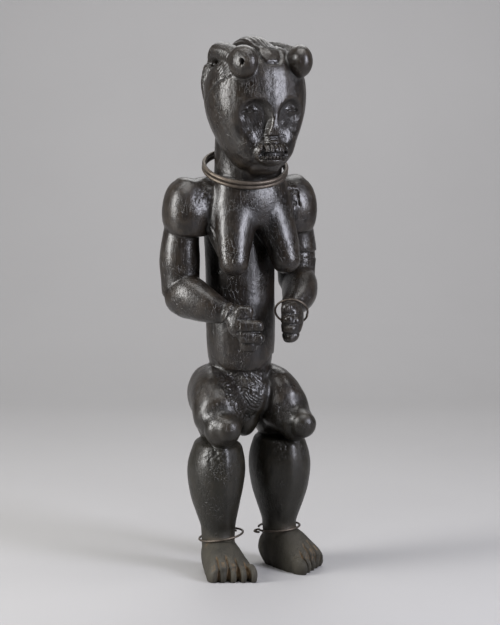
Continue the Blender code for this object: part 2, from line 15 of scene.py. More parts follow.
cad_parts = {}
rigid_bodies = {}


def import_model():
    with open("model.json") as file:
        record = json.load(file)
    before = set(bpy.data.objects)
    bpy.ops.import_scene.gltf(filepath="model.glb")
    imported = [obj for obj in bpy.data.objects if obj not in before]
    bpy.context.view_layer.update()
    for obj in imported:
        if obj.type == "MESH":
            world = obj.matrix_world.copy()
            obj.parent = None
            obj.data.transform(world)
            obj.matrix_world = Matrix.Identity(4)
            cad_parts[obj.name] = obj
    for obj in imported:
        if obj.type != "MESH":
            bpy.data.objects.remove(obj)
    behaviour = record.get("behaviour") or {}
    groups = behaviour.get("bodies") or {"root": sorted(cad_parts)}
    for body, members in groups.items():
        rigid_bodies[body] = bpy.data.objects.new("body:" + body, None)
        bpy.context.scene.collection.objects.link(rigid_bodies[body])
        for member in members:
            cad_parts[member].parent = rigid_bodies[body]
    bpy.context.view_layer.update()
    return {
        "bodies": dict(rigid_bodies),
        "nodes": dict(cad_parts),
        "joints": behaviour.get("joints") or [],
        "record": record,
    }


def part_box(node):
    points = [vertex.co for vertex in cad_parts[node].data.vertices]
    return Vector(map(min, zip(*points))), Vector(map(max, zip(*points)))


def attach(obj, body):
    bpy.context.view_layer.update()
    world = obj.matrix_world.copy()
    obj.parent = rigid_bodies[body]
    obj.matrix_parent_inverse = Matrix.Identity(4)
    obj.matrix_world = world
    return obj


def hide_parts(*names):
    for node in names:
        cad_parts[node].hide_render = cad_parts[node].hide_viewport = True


bl_info = {
    "name": "Fang reliquary figure",
    "version": (1, 0, 0),
    "blender": (4, 5, 0),
    "location": "3D View > Sidebar > Figure",
    "description": "Carves and finishes a standing reliquary figure with wire rings, and lights it",
    "category": "Object",
}

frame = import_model()

FIGURE_HEIGHT = 0.640
STEP = FIGURE_HEIGHT / 640
PLACED = (0.0, 4.0, 0.0)  # steps the whole figure is moved, so that its box is centred on the origin


# Feet and legs. The knees turn outwards, and the feet are set a little apart from each other.
# Where a pair isn't alike, -1 is the figure's right and 1 its left.
KNEES_OUT = math.radians(14)
ANKLES = {-1: (-41.0, 0.0), 1: (43.0, 5.0)}
FOOT_TURNS = {-1: math.radians(6), 1: math.radians(23)}
FOOT_LENGTHS = {-1: 59.0, 1: 54.0}  # from the ankle to the middle of the toes
FOOT_HEIGHTS = {-1: 0.93, 1: 1.0}
FOOT_HALF_WIDTH = 28.0
TOE_SLANT = math.radians(17)
ANKLE_LEVEL = 50.0
ANKLE_HALF = 20.5
CALF_LEVEL = 120.0
CALF_HALF_WIDTH = 34.5
CALF_HALF_DEPTH = 42.0
KNEE_LEVEL = 180.0
KNEE_HALF = 21.5
KNEE_FORWARD = 31.0
KNEECAPS = {-1: (-4.0, 10.5, 1.5), 1: (-1.5, 14.5, 0.0)}  # from the knee: outwards, forwards and up
KNEECAP_HALVES = (16.5, 16.5, 17.0)
THIGH_LEVEL = 205.0
THIGH_HALVES = {-1: 31.5, 1: 29.0}

# Trunk. It stands behind the line of the ankles, and the neck stands in front of it.
TRUNK_BACK = 24.0
TRUNK_HALF = 41.0
BELLY_BOTTOM = 238.0
NECK_BACK = 3.0
NECK_HALF_WIDTH = 41.0
NECK_HALF_DEPTH = 38.0
SHOULDER_LEVEL = 441.5
SHOULDER_OUT = 69.0
DELTOID_OUT = {-1: 70.0, 1: 67.5}
BREAST_TIP = (34.0, -31.0, 377.0)
BREAST_TIP_HALF = 17.5

# Arms.
ARM_OUT = 77.0
ARM_BACK = 29.0
ARM_HALF = 23.5
ELBOW_LEVELS = {-1: 334.0, 1: 339.0}
ELBOW_HALVES = {-1: 24.0, 1: 21.5}
WRISTS = {-1: (-43.0, -33.0, 317.0), 1: (40.0, -34.0, 320.0)}
WRIST_HALF = 13.0
# The back of each hand: from the wrist across, forward and up, then its half sizes.
PALMS = {
    -1: (
        (0, 0, 0, 13, 13),
        (2, -12, 0, 11.5, 15),
        (8, -20, -10, 11, 17),
        (15, -24, -22, 10, 14),
        (17, -22, -36, 9, 10),
    ),
    1: ((0, 0, 0, 13, 13), (-4, -11, -7, 13, 14.5), (-9, -19, -17, 13, 13.5), (-13, -24, -31, 10.5, 9)),
}
# The thumb and the fingers, one under the other: start from the wrist, length and half thickness.
FINGERS = {
    -1: (
        ((4, -17, 5), 15, 8.5),
        ((5, -21, -11), 24, 8.2),
        ((8, -22, -26), 22, 8.2),
        ((13, -20, -37), 10, 6.6),
    ),
    1: (
        ((-6, -14, 3), 13, 8.0),
        ((-8, -20, -10), 12, 7.4),
        ((-10, -23, -21), 10, 6.8),
        ((-12, -24, -32), 7, 6.0),
    ),
}
FINGER_HALF_WIDTH = 8.5
FINGERTIPS = {-1: (-21.0, -65.0, 286.0), 1: (22.0, -62.0, 294.0)}

# Head. The face is laid out by levels and widths of its own, the same on both sides.
CHIN_LEVEL = 484.0
HEAD_LEVEL = 570.0
HEAD_HALF_WIDTH = 59.5
HEAD_HALF_DEPTH = 58.0
HEAD_BACK = -16.5
MOUTH_LEVEL = 505.5
MOUTH_HALF = 19.0
NOSE_LEVELS = (527.5, 566.0)
EYE_LEVEL = 555.0
EYE_OUT = 28.0
BROW_OUT = 23.5  # centre of the arc over each eye
BROW_LEVEL = 550.0
BROW_HALF = 21.0
FACE_DEPTH = 9.0

# Coiffure.
KNOB = (36.0, -61.5, 611.5)
KNOB_HALVES = (15.0, 21.5, 19.5)  # across, lengthwise and upright

# Rings of wire. Each one's size comes from the limb that it goes round.
NECK_WIRE = 5.0
NECK_RING_SLACK = 5.4
NECK_RING_TURNS = 2.12
NECK_RING_TILT = (22.0, -4.5)  # degrees: the front hangs low, and the right side a little
NECK_RING_START = math.radians(53)  # where the wire's end lies, from the left towards the back
THIN_WIRE = 2.6
WRIST_RING_SLACK = 5.0
ANKLE_RING_SLACK = 4.0
EYELET_HALF = 2.8
RING_GAP = 0.35  # left between wires, and between a wire and the wood under it

# The photo is taken from the figure's right. Some marks are laid out as they are seen from there.
VIEW_TURN = math.radians(-25)

# Seen from that side: across and upwards, in steps. Then each cut's half width and depth.
REPAIR_LINES = (
    (((50, 459), (57.5, 458)), 1.0, 1.2),
    (((58, 458), (60.5, 440)), 1.1, 1.6),
    (((44.5, 463), (49, 459)), 1.2, 2.2),
    (((51, 437), (49.5, 429)), 1.1, 1.8),
)
REPAIR_PINS = ((53.5, 455), (54.3, 442))
BELLY_EDGE = ((-45, 261), (-36.5, 250.5), (-28, 244), (-5, 242.5), (13, 244), (21.5, 252.5), (27, 261))
KNUCKLES = (  # of the left hand: across, upwards and reach
    (54.5, 319, 5.5),
    (57.0, 309, 4.5),
    (53.0, 300.5, 4.5),
)
# Centre, half sizes, depth and noise seed.
ROUGH_PLACES = (
    ((-60, -36, 146), (17, 20, 20), 1.2, 31),
    ((34, -38, 203), (9, 13, 15), 1.5, 33),
    ((29, -30, 152), (10, 18, 24), 1.4, 35),
    ((-62, -8, 452), (15, 17, 15), 1.0, 37),
    ((30, -36, 382), (16, 10, 16), 0.7, 39),
)

# How the blocks of volumes are worked: rounds of smoothing at the CAD model's grain, in metres.
CAD_GRAIN = 0.002
RUN_TOGETHER_ROUNDS = 30
SCRAPED_ROUNDS = 6
SHARP_ANGLE = math.radians(70)

# The floor and the wall behind the figure, in metres.
FLOOR_FRONT = 4.0
FLOOR_HALF_WIDTH = 4.0
BEND_START = 1.2
BEND_RADIUS = 1.0
WALL_TOP = 4.0

VOLUMES = []


def placed(point):
    """A place in steps from the ankle line, as a place in metres."""
    return Vector(tuple((a + b) * STEP for a, b in zip(point, PLACED)))


def curve_through(rows, per_span):
    """Rows of numbers on a smooth curve through the given rows."""
    rows = np.array(rows, float)
    padded = np.vstack([2 * rows[0] - rows[1], rows, 2 * rows[-1] - rows[-2]])
    made = []
    for k in range(len(rows) - 1):
        a, b, c, d = padded[k : k + 4]
        for t in np.arange(per_span) / per_span:
            straight = 2 * b + (c - a) * t
            bent = (2 * a - 5 * b + 4 * c - d) * t**2 + (3 * b - a - 3 * c + d) * t**3
            made.append((straight + bent) / 2)
    return np.array(made + [rows[-1]])


def loft(rows, across, ends=(0.6, 0.6), square=2.0, sides=32, per_span=5):
    """A closed volume through oval sections. A row is x, y, z, half width, half depth, in steps.

    across points along the width of the sections. The ends are rounded, by that share of the
    end section's size. square is the power of the superellipse: 2 is an oval."""
    rows = curve_through(rows, per_span)
    path, halves = rows[:, :3], np.maximum(rows[:, 3:5], 0.5)
    along = np.gradient(path, axis=0)
    along /= np.linalg.norm(along, axis=1)[:, None]
    first, last = np.mean(halves[0]) * ends[0], np.mean(halves[-1]) * ends[1]
    sections = []
    for turn in np.radians([80, 60, 40, 20]):
        centre = path[0] - along[0] * first * math.sin(turn)
        sections.append((centre, along[0], halves[0] * math.cos(turn)))
    sections += list(zip(path, along, halves))
    for turn in np.radians([20, 40, 60, 80]):
        centre = path[-1] + along[-1] * last * math.sin(turn)
        sections.append((centre, along[-1], halves[-1] * math.cos(turn)))
    angles = np.arange(sides) * 2 * math.pi / sides
    c, s = np.cos(angles), np.sin(angles)
    power = 2 / square
    oval = np.stack([np.sign(c) * abs(c) ** power, np.sign(s) * abs(s) ** power], 1)
    bm = bmesh.new()
    rings = []
    for centre, tangent, half in sections:
        wide = np.array(across, float) - np.dot(across, tangent) * tangent
        wide /= np.linalg.norm(wide)
        deep = np.cross(tangent, wide)
        points = centre + oval[:, :1] * half[0] * wide + oval[:, 1:] * half[1] * deep
        rings.append([bm.verts.new(placed(p)) for p in points])
    for lower, upper in zip(rings, rings[1:]):
        for k in range(sides):
            m = (k + 1) % sides
            bm.faces.new((lower[k], lower[m], upper[m], upper[k]))
    bm.faces.new(rings[0][::-1])
    bm.faces.new(rings[-1])
    keep(bm)


def ball(centre, halves, turn=0.0):
    """An ellipsoid, turned about the upright through its centre by an angle in degrees."""
    bm = bmesh.new()
    bmesh.ops.create_icosphere(bm, subdivisions=4, radius=1.0)
    sized = Matrix.Diagonal(Vector(halves) * STEP).to_4x4()
    turned = Matrix.Rotation(math.radians(turn), 4, "Z")
    moved = Matrix.Translation(placed(centre))
    bmesh.ops.transform(bm, matrix=moved @ turned @ sized, verts=bm.verts)
    keep(bm)


def keep(bm):
    """Adds a volume to those that the figure is joined from."""
    bmesh.ops.recalc_face_normals(bm, faces=bm.faces)
    mesh = bpy.data.meshes.new("volume")
    bm.to_mesh(mesh)
    bm.free()
    VOLUMES.append(mesh)


def leg_point(side, out, forward, level, turn=KNEES_OUT):
    """A place in a leg's own frame: outwards and forwards from the ankle, in steps."""
    x, y = ANKLES[side]
    away = out * math.cos(turn) + forward * math.sin(turn)
    return (x + side * away, y + out * math.sin(turn) - forward * math.cos(turn), level)


def make_leg(side):
    calf = (
        # level, outwards, forwards, half width, half depth
        (22, 0, 1, ANKLE_HALF - 1, ANKLE_HALF),
        (ANKLE_LEVEL, 0, 0, ANKLE_HALF, ANKLE_HALF + 0.5),
        (59, 0, 0, ANKLE_HALF + 0.9, ANKLE_HALF + 2.5),
        (78, 1, -1, 26.3, 31.5),
        (97, 2, -2, 31.3, 38.5),
        (CALF_LEVEL, 2, -2, CALF_HALF_WIDTH, CALF_HALF_DEPTH),
        (138, 1, -1, 33.5, 41),
        (155, 0, 0, 29, 36),
    )
    across = (side * math.cos(KNEES_OUT), math.sin(KNEES_OUT), 0)
    rows = [(*leg_point(side, out, forward, level), w, d) for level, out, forward, w, d in calf]
    loft(rows, across, (0.2, 0.3))

    knee = leg_point(side, 0, KNEE_FORWARD, KNEE_LEVEL)
    ball(knee, (KNEE_HALF + 1, KNEE_HALF - 1, KNEE_HALF + 1))
    out, forward, up = KNEECAPS[side]
    ball(leg_point(side, out, KNEE_FORWARD + forward, KNEE_LEVEL + up), KNEECAP_HALVES)
    thigh = (
        (*leg_point(side, 0, KNEE_FORWARD - 7, KNEE_LEVEL + 3), KNEE_HALF + 4.5, KNEE_HALF + 2),
        (*leg_point(side, 0, 12, 192), THIGH_HALVES[side], 31),
        (side * 40, 8, THIGH_LEVEL + 4, THIGH_HALVES[side] - 1, 33),
        (side * 34, 25, 211, 30.5, 36.5),
        (side * 30, 43, 211, 30.5, 37),
    )
    loft(thigh, across, (0.5, 0.95))
    ball((side * 38, 18, 186), (22, 29, 32))
    ball((side * 38, 15, THIGH_LEVEL - 1), (THIGH_HALVES[side] - 4, 33, 38))


def make_foot(side):
    turn, length = FOOT_TURNS[side], FOOT_LENGTHS[side]
    foot = (
        # share of the length, half width, height of the upper side
        (-0.26, 15, 30),
        (-0.12, 18.5, 42),
        (0.06, 20.5, 51),
        (0.30, 22.5, 47),
        (0.54, 25, 38),
        (0.74, FOOT_HALF_WIDTH - 0.5, 29),
        (0.86, FOOT_HALF_WIDTH - 2, 23),
    )
    below = 14  # the foot reaches this far under the floor before it is cut flat
    rows = []
    for share, half, top in foot:
        top *= FOOT_HEIGHTS[side]
        middle = leg_point(side, 0, share * length, (top - below) / 2, turn)
        rows.append((*middle, half, (top + below) / 2))
    loft(rows, (side * math.cos(turn), math.sin(turn), 0), (0.35, 0.15), square=2.5)
    for k in range(5):
        # From the big toe on the inner side to the little one.
        across = (k - 2) * FOOT_HALF_WIDTH * 0.41
        forward = length - across * math.tan(TOE_SLANT) - 9
        spot = leg_point(side, across, forward, 7.5, turn)
        ball(spot, (6.0 - 0.2 * k, 13, 13.0 - 0.5 * k), side * math.degrees(turn))


def make_trunk():
    trunk = (
        (0, TRUNK_BACK + 2, BELLY_BOTTOM - 16, 30, 28),
        (0, TRUNK_BACK + 1, BELLY_BOTTOM + 2, 35, 36),
        (0, TRUNK_BACK, BELLY_BOTTOM + 24, TRUNK_HALF - 1, TRUNK_HALF),
        (0, TRUNK_BACK, BELLY_BOTTOM + 57, TRUNK_HALF + 1, TRUNK_HALF),
        (0, TRUNK_BACK + 1, BELLY_BOTTOM + 97, TRUNK_HALF + 1, TRUNK_HALF - 2),
        (0, TRUNK_BACK + 2, SHOULDER_LEVEL - 62, TRUNK_HALF + 2, TRUNK_HALF - 3),
        (0, TRUNK_BACK + 2, SHOULDER_LEVEL - 22, TRUNK_HALF + 5, TRUNK_HALF - 5),
        (0, TRUNK_BACK, SHOULDER_LEVEL + 6, TRUNK_HALF + 11, TRUNK_HALF - 9),
        (0, TRUNK_BACK - 4, SHOULDER_LEVEL + 20, TRUNK_HALF + 5, TRUNK_HALF - 13),
    )
    loft(trunk, (1, 0, 0), (0.5, 0.35))
    ball((0, 15, 198), (20, 24, 38))
    ball((0, 0, 214), (27, 20, 28))
    shoulders = (
        (-SHOULDER_OUT, 22, SHOULDER_LEVEL + 3, 27, 27),
        (-42, 19, SHOULDER_LEVEL + 5, 28, 30),
        (0, 17, SHOULDER_LEVEL + 6, 28, 30),
        (42, 19, SHOULDER_LEVEL + 5, 28, 30),
        (SHOULDER_OUT, 22, SHOULDER_LEVEL + 3, 27, 27),
    )
    loft(shoulders, (0, 1, 0), (0.3, 0.3))
    neck = (
        (0, NECK_BACK + 3, SHOULDER_LEVEL - 6, NECK_HALF_WIDTH + 3, NECK_HALF_DEPTH - 2),
        (0, NECK_BACK - 3, SHOULDER_LEVEL + 14, NECK_HALF_WIDTH + 1, NECK_HALF_DEPTH - 1),
        (0, NECK_BACK, CHIN_LEVEL - 14, NECK_HALF_WIDTH, NECK_HALF_DEPTH),
        (0, NECK_BACK - 1, CHIN_LEVEL + 6, NECK_HALF_WIDTH, NECK_HALF_DEPTH),
        (0, NECK_BACK - 4, CHIN_LEVEL + 28, NECK_HALF_WIDTH + 1, NECK_HALF_DEPTH - 1),
        (0, NECK_BACK - 8, CHIN_LEVEL + 54, NECK_HALF_WIDTH + 1, NECK_HALF_DEPTH - 3),
        (0, NECK_BACK - 12, CHIN_LEVEL + 76, NECK_HALF_WIDTH, NECK_HALF_DEPTH - 5),
    )
    loft(neck, (1, 0, 0), (0.3, 0.3))
    chest = (
        (0, -3, SHOULDER_LEVEL + 32, 36, 30),
        (0, -4, SHOULDER_LEVEL + 16, 47, 33),
        (0, -4, SHOULDER_LEVEL - 2, 52, 33),
        (0, -3, SHOULDER_LEVEL - 18, 49, 32),
    )
    loft(chest, (1, 0, 0), (0.5, 0.2), square=2.3)


def make_breast(side):
    x, y, z = BREAST_TIP
    rows = (
        (side * 16, -6, z + 87, 30, 25),
        (side * 21, -12, z + 61, 28.5, 24),
        (side * (x - 7), y + 11.5, z + 38, 24, 21),
        (side * (x - 2.5), y + 5, z + 18, 20.5, 19),
        (side * x, y, z, BREAST_TIP_HALF, BREAST_TIP_HALF),
    )
    loft(rows, (1, 0, 0), (0.5, 0.9))
    fold = (
        (side * (x + 11), 4, z + 57, 12, 18),
        (side * (x + 9), -4, z + 31, 9, 15),
        (side * (x + 6), -14, z + 9, 6, 10),
    )
    loft(fold, (1, 0, 0), (0.5, 0.6))


def make_arm(side):
    elbow, out = ELBOW_LEVELS[side], DELTOID_OUT[side]
    deltoid = (
        (side * (out - 7), 21, SHOULDER_LEVEL + 21, 22.5, 22),
        (side * (out - 2), 22, SHOULDER_LEVEL + 9, 28, 28.5),
        (side * out, 22, SHOULDER_LEVEL - 6, 29.5, 31),
        (side * (out + 0.5), 23, SHOULDER_LEVEL - 22, 28, 29.5),
        (side * (out + 1), 24, SHOULDER_LEVEL - 30, 25, 27),
    )
    loft(deltoid, (1, 0, 0), (0.45, 0.2), square=2.3)
    upper = (
        (side * (SHOULDER_OUT + 2), 25, SHOULDER_LEVEL - 12, ARM_HALF - 3.5, ARM_HALF - 1.5),
        (side * (ARM_OUT - 1), ARM_BACK - 1, SHOULDER_LEVEL - 36, ARM_HALF - 2, ARM_HALF),
        (side * (ARM_OUT + 0.5), ARM_BACK, elbow + 44, ARM_HALF + 0.5, ARM_HALF + 2),
        (side * ARM_OUT, ARM_BACK, elbow + 24, ARM_HALF - 0.5, ARM_HALF + 1.5),
        (side * ARM_OUT, ARM_BACK - 1, elbow + 4, ARM_HALF - 1.5, ARM_HALF + 0.5),
    )
    loft(upper, (1, 0, 0), (0.5, 0.5))
    wrist = np.array(WRISTS[side])
    across = (1, side * 0.6, 0)
    fore = (
        (side * ARM_OUT, ARM_BACK - 3, elbow, ELBOW_HALVES[side] - 1.5, 23.5),
        (side * 73, 12, elbow, ELBOW_HALVES[side] - 0.5, 27.5),
        (side * 61, -12, elbow - 8, 19.5, 22.5),
        (*wrist, WRIST_HALF, WRIST_HALF),
    )
    loft(fore, across, (0.7, 0.3))
    make_hand(side)


def finger_way(side):
    """The way the fingers of a hand point."""
    return np.array((-side * 0.86, -0.50, -0.06))


def make_hand(side):
    """The back of the hand, with the thumb and three short fingers one under the other."""
    wrist = np.array(WRISTS[side])
    palm = [(*(wrist + (x, y, z)), across, deep) for x, y, z, across, deep in PALMS[side]]
    loft(palm, (side * 0.5, -0.85, 0.3), (0.3, 0.6))
    inwards = finger_way(side)
    for start, length, half in FINGERS[side]:
        root = wrist + start
        rows = [
            (*(root + inwards * (length * share)), half - share, FINGER_HALF_WIDTH - 1.5 * share)
            for share in (0, 0.5, 1)
        ]
        loft(rows, (0, 0, 1), (0.3, 0.7), square=2.4, sides=16)


def make_head():
    back, top = HEAD_BACK, HEAD_LEVEL
    head = (
        (0, back - 26, CHIN_LEVEL + 3, 19, 18),
        (0, back - 23, CHIN_LEVEL + 10, 30, 28),
        (0, back - 17, CHIN_LEVEL + 24, 40, 38),
        (0, back - 10, CHIN_LEVEL + 42, 49, 47),
        (0, back - 4, top - 22, 56.5, 55),
        (0, back, top, HEAD_HALF_WIDTH, HEAD_HALF_DEPTH),
        (0, back, top + 20, HEAD_HALF_WIDTH - 1.5, HEAD_HALF_DEPTH - 3),
        (0, back + 3, top + 36, HEAD_HALF_WIDTH - 8.5, HEAD_HALF_DEPTH - 10),
        (0, back + 7, top + 46, HEAD_HALF_WIDTH - 23.5, HEAD_HALF_DEPTH - 22),
    )
    loft(head, (1, 0, 0), (0.4, 0.2), square=2.2)
    ball((0, back - 44, MOUTH_LEVEL + 1.5), (MOUTH_HALF + 3, 18, 16))

    crest = (
        (0, back - 37, top + 44, 11, 9),
        (0, back - 26, top + 51, 12, 11),
        (0, back - 5, top + 59.5, 14.5, 11),
        (0, back + 19, top + 59.5, 16, 11),
        (0, back + 41, top + 50, 17.5, 12),
        (0, back + 56, top + 32, 19, 12),
        (0, back + 61, top + 10, 20, 12),
        (0, back + 60, top - 8, 20, 10),
    )
    loft(crest, (1, 0, 0), (0.7, 0.4))
    for side in (-1, 1):
        x, y, z = KNOB
        ball((side * x, y, z), KNOB_HALVES, side * -10)
        tress = (
            (side * 26, back + 49, top + 35, 12, 13),
            (side * 31, back + 29, top + 51, 12.5, 15),
            (side * 35, back + 5, top + 51, 12, 14),
            (side * 35.5, back - 17, top + 47, 12.5, 13),
            (side * x, y + 11, z, 11, 12),
        )
        loft(tress, (0, 0, 1), (0.7, 0.3))
        ball((side * 27, back + 43, top + 27), (14, 15, 17))
        flap = (
            (side * 36, back + 41, top + 32, 11, 14),
            (side * 39, back + 43, top + 18, 10, 14),
            (side * 39, back + 43, top + 3, 8.5, 13),
            (side * 37, back + 43, top - 7, 7, 12),
        )
        loft(flap, (1, 0, 0), (0.6, 0.4))


def ramp(value, low, high):
    """0 below low, 1 above high, and a soft rise between them."""
    t = np.clip((value - low) / (high - low), 0, 1)
    return t * t * (3 - 2 * t)


def carve_face(points):
    """Hollows the heart-shaped face and leaves the nose, the eyes and the lips standing.

    Takes and gives back an array of places in steps."""
    x, y, z = abs(points[:, 0]), points[:, 1], points[:, 2]
    front = ramp(-y, 30, 44)
    low, high = NOSE_LEVELS
    # Half width of the heart at each level, narrowing from the cheeks to the corners of the mouth.
    widest = BROW_OUT + BROW_HALF
    levels = (MOUTH_LEVEL - 12, MOUTH_LEVEL, MOUTH_LEVEL + 16, MOUTH_LEVEL + 30, BROW_LEVEL - 8)
    heart = np.interp(z, levels, (8, MOUTH_HALF + 5, 38, 47, widest + 2)) - x
    flank = np.interp(z, (low, low + 8, low + 18, BROW_LEVEL), (6.5, 4.5, 2, BROW_OUT - BROW_HALF))
    cheeks = ramp(heart, 0, 28) * ramp(x, flank, flank + 3.2)
    arc = BROW_HALF - np.hypot(x - BROW_OUT, np.maximum(z - BROW_LEVEL, 0))
    sockets = ramp(arc, 0, np.interp(x, (BROW_OUT, BROW_OUT + BROW_HALF), (8, 20)))
    above = ramp(z, BROW_LEVEL - 12, BROW_LEVEL + 6)
    hollow = FACE_DEPTH * (cheeks * (1 - above) + sockets * above)
    hollow *= ramp(z, MOUTH_LEVEL - 2, MOUTH_LEVEL + 34)
    eye = 1 - ramp(np.hypot((x - EYE_OUT) / 9, (z - EYE_LEVEL) / 4.5), 0.5, 1.1)
    slit = 1 - ramp(abs(z - EYE_LEVEL), 0.6, 1.8)
    mouth = (1 - ramp(abs(z - MOUTH_LEVEL), 1.2, 2.8)) * (1 - ramp(x, MOUTH_HALF - 4, MOUTH_HALF))
    nose = (1 - ramp(x, flank, flank + 3.5)) * ramp(z, low - 2.5, low) * (1 - ramp(z, low + 4, high - 12))
    moved = points.copy()
    moved[:, 1] += front * (hollow - 2.2 * eye * (1 - slit) + 4 * mouth - 3.5 * nose)
    return moved


def joined_volumes():
    """One mesh of all the volumes, which still run through each other."""
    bm = bmesh.new()
    for mesh in VOLUMES:
        bm.from_mesh(mesh)
    mesh = bpy.data.meshes.new("carved_figure")
    bm.to_mesh(mesh)
    bm.free()
    return mesh


def settle(obj):
    """Makes the modifiers' result the object's own mesh."""
    graph = bpy.context.evaluated_depsgraph_get()
    mesh = bpy.data.meshes.new_from_object(obj.evaluated_get(graph))
    obj.modifiers.clear()
    obj.data = mesh


def places(mesh):
    found = np.empty(len(mesh.vertices) * 3, np.float32)
    mesh.vertices.foreach_get("co", found)
    return found.reshape(-1, 3).astype(float) / STEP - np.array(PLACED)


def place_all(mesh, points):
    mesh.vertices.foreach_set("co", ((points + np.array(PLACED)) * STEP).astype(np.float32).ravel())
    mesh.update()


def soften(figure, rounds):
    """Runs the volumes into each other where the carver left no crease."""
    spots = [((0, -28, 460), 34), ((0, -32, 424), 20), ((0, 20, 468), 38), ((0, -8, 212), 38)]
    for side in (-1, 1):
        x, y = ANKLES[side]
        spots += [
            ((side * 24, -20, 436), 34),
            ((side * 46, 0, 440), 28),
            ((side * 54, 2, 458), 34),
            ((side * 46, 2, 205), 36),
            ((side * 58, 22, 214), 34),
            (leg_point(side, 0, KNEE_FORWARD + 6, KNEE_LEVEL + 14), 26),
            (leg_point(side, 0, KNEE_FORWARD - 12, KNEE_LEVEL - 4), 24),
            ((side * 40, 34, 205), 48),
            (WRISTS[side], 12),
            ((x, y, 44), 26),
            ((side * 66, 20, 330), 26),
        ]
    points = places(figure.data)
    weight = np.zeros(len(points))
    for centre, reach in spots:
        away = np.linalg.norm(points - np.array(centre, float), axis=1)
        weight = np.maximum(weight, 1 - ramp(away, reach * 0.6, reach))
    group = figure.vertex_groups.new(name="run_together")
    for level in (0.25, 0.5, 0.75, 1.0):
        near = np.flatnonzero(abs(weight - level) <= 0.125)
        group.add(near.tolist(), level, "REPLACE")
    smooth = figure.modifiers.new("Run together", "SMOOTH")
    smooth.vertex_group = group.name
    smooth.iterations = rounds


def ring_frame(normal, start):
    """Two directions across a ring: towards its start, and a quarter turn on."""
    normal = Vector(normal).normalized()
    first = Vector(start) - Vector(start).dot(normal) * normal
    first.normalize()
    return normal, first, normal.cross(first)


def ring_points(halves, wire, turns, frame, per_turn, start=0.0):
    """Places along a wire bent round once or more, each turn lying just clear of the last.

    halves are the ring's half sizes in the frame's two directions, and start is an angle."""
    normal, first, second = frame
    rise = wire + RING_GAP
    made = []
    for k in range(round(turns * per_turn) + 1):
        turned = start + 2 * math.pi * k / per_turn
        up = rise * (k / per_turn - turns / 2)
        across = halves[0] * math.cos(turned) * first + halves[1] * math.sin(turned) * second
        made.append(across + up * normal)
    return made


def eyelet_points(half, end, before, normal):
    """The curl at a wire's end, turned outwards and lifted clear of the wire that it comes from."""
    tangent = (end - before).normalized()
    outward = tangent.cross(normal)
    if outward.dot(end) < 0:
        outward.negate()
    made = []
    for k in range(1, 12):
        turned = math.radians(30 * k)
        lift = (THIN_WIRE + 2 * RING_GAP) * k / 11
        around = (1 - math.cos(turned)) * outward + math.sin(turned) * tangent
        made.append(end + half * around + lift * normal)
    return made


def from_the_side_seen(points):
    """How far across the figure each place lies, as seen from the camera's side, in steps."""
    return points[:, 0] * math.cos(VIEW_TURN) + points[:, 1] * math.sin(VIEW_TURN)


def cloud(points, size, seed):
    """Soft noise from -1 to 1 at each place. size is its grain in steps, one number or three."""
    lattice = np.random.default_rng(seed).uniform(-1, 1, (32, 32, 32))
    at = points / size
    corner = np.floor(at).astype(int)
    t = at - corner
    t = t * t * (3 - 2 * t)
    total = np.zeros(len(points))
    for i in (0, 1):
        for j in (0, 1):
            for k in (0, 1):
                wx = t[:, 0] if i else 1 - t[:, 0]
                wy = t[:, 1] if j else 1 - t[:, 1]
                wz = t[:, 2] if k else 1 - t[:, 2]
                at_corner = (corner + (i, j, k)) % 32
                total += wx * wy * wz * lattice[at_corner[:, 0], at_corner[:, 1], at_corner[:, 2]]
    return total


def near_path(places_flat, path, reach):
    """Distance of each place from a line through the given corners, and how far along it that is."""
    path = np.array(path, float)
    stretches = np.diff(path, axis=0)
    lengths = np.linalg.norm(stretches, axis=1)
    best = np.full(len(places_flat), 1e9)
    share = np.zeros(len(places_flat))
    low, high = path.min(0) - reach, path.max(0) + reach
    near = np.flatnonzero(((places_flat > low) & (places_flat < high)).all(1))
    spots = places_flat[near]
    before = 0.0
    for start, stretch, length in zip(path, stretches, lengths):
        t = np.clip((spots - start) @ stretch / length**2, 0, 1)
        away = np.linalg.norm(spots - start - t[:, None] * stretch, axis=1)
        closer = away < best[near]
        best[near[closer]] = away[closer]
        share[near[closer]] = (before + t[closer] * length) / lengths.sum()
        before += length
    return best, share


def cut(away, half, depth):
    """A V-shaped cut: deepest where away is 0, and gone at half."""
    return depth * np.clip(1 - away / half, 0, 1)


def stripes(value, pitch):
    """0 on evenly spaced lines and 1 half way between them."""
    return abs((value / pitch) % 1 - 0.5) * 2


def within(value, low, high, soft):
    """1 between low and high, fading to 0 over soft outside them."""
    return ramp(value, low - soft, low) * (1 - ramp(value, high, high + soft))


def facing(mesh):
    """The way the surface faces at each corner of a mesh."""
    found = np.empty(len(mesh.vertices) * 3, np.float32)
    mesh.vertex_normals.foreach_get("vector", found)
    return found.reshape(-1, 3).astype(float)


def edges_of(mesh):
    found = np.empty(len(mesh.edges) * 2, np.int32)
    mesh.edges.foreach_get("vertices", found)
    return found.reshape(-1, 2)


def neighbour_mean(values, edges):
    """The mean of each corner's neighbours."""
    count = len(values)
    a, b = edges[:, 0], edges[:, 1]
    number = np.bincount(a, minlength=count) + np.bincount(b, minlength=count)
    made = np.empty_like(values)
    for k in range(values.shape[1]):
        total = np.bincount(a, values[b, k], count) + np.bincount(b, values[a, k], count)
        made[:, k] = total / np.maximum(number, 1)
    return made


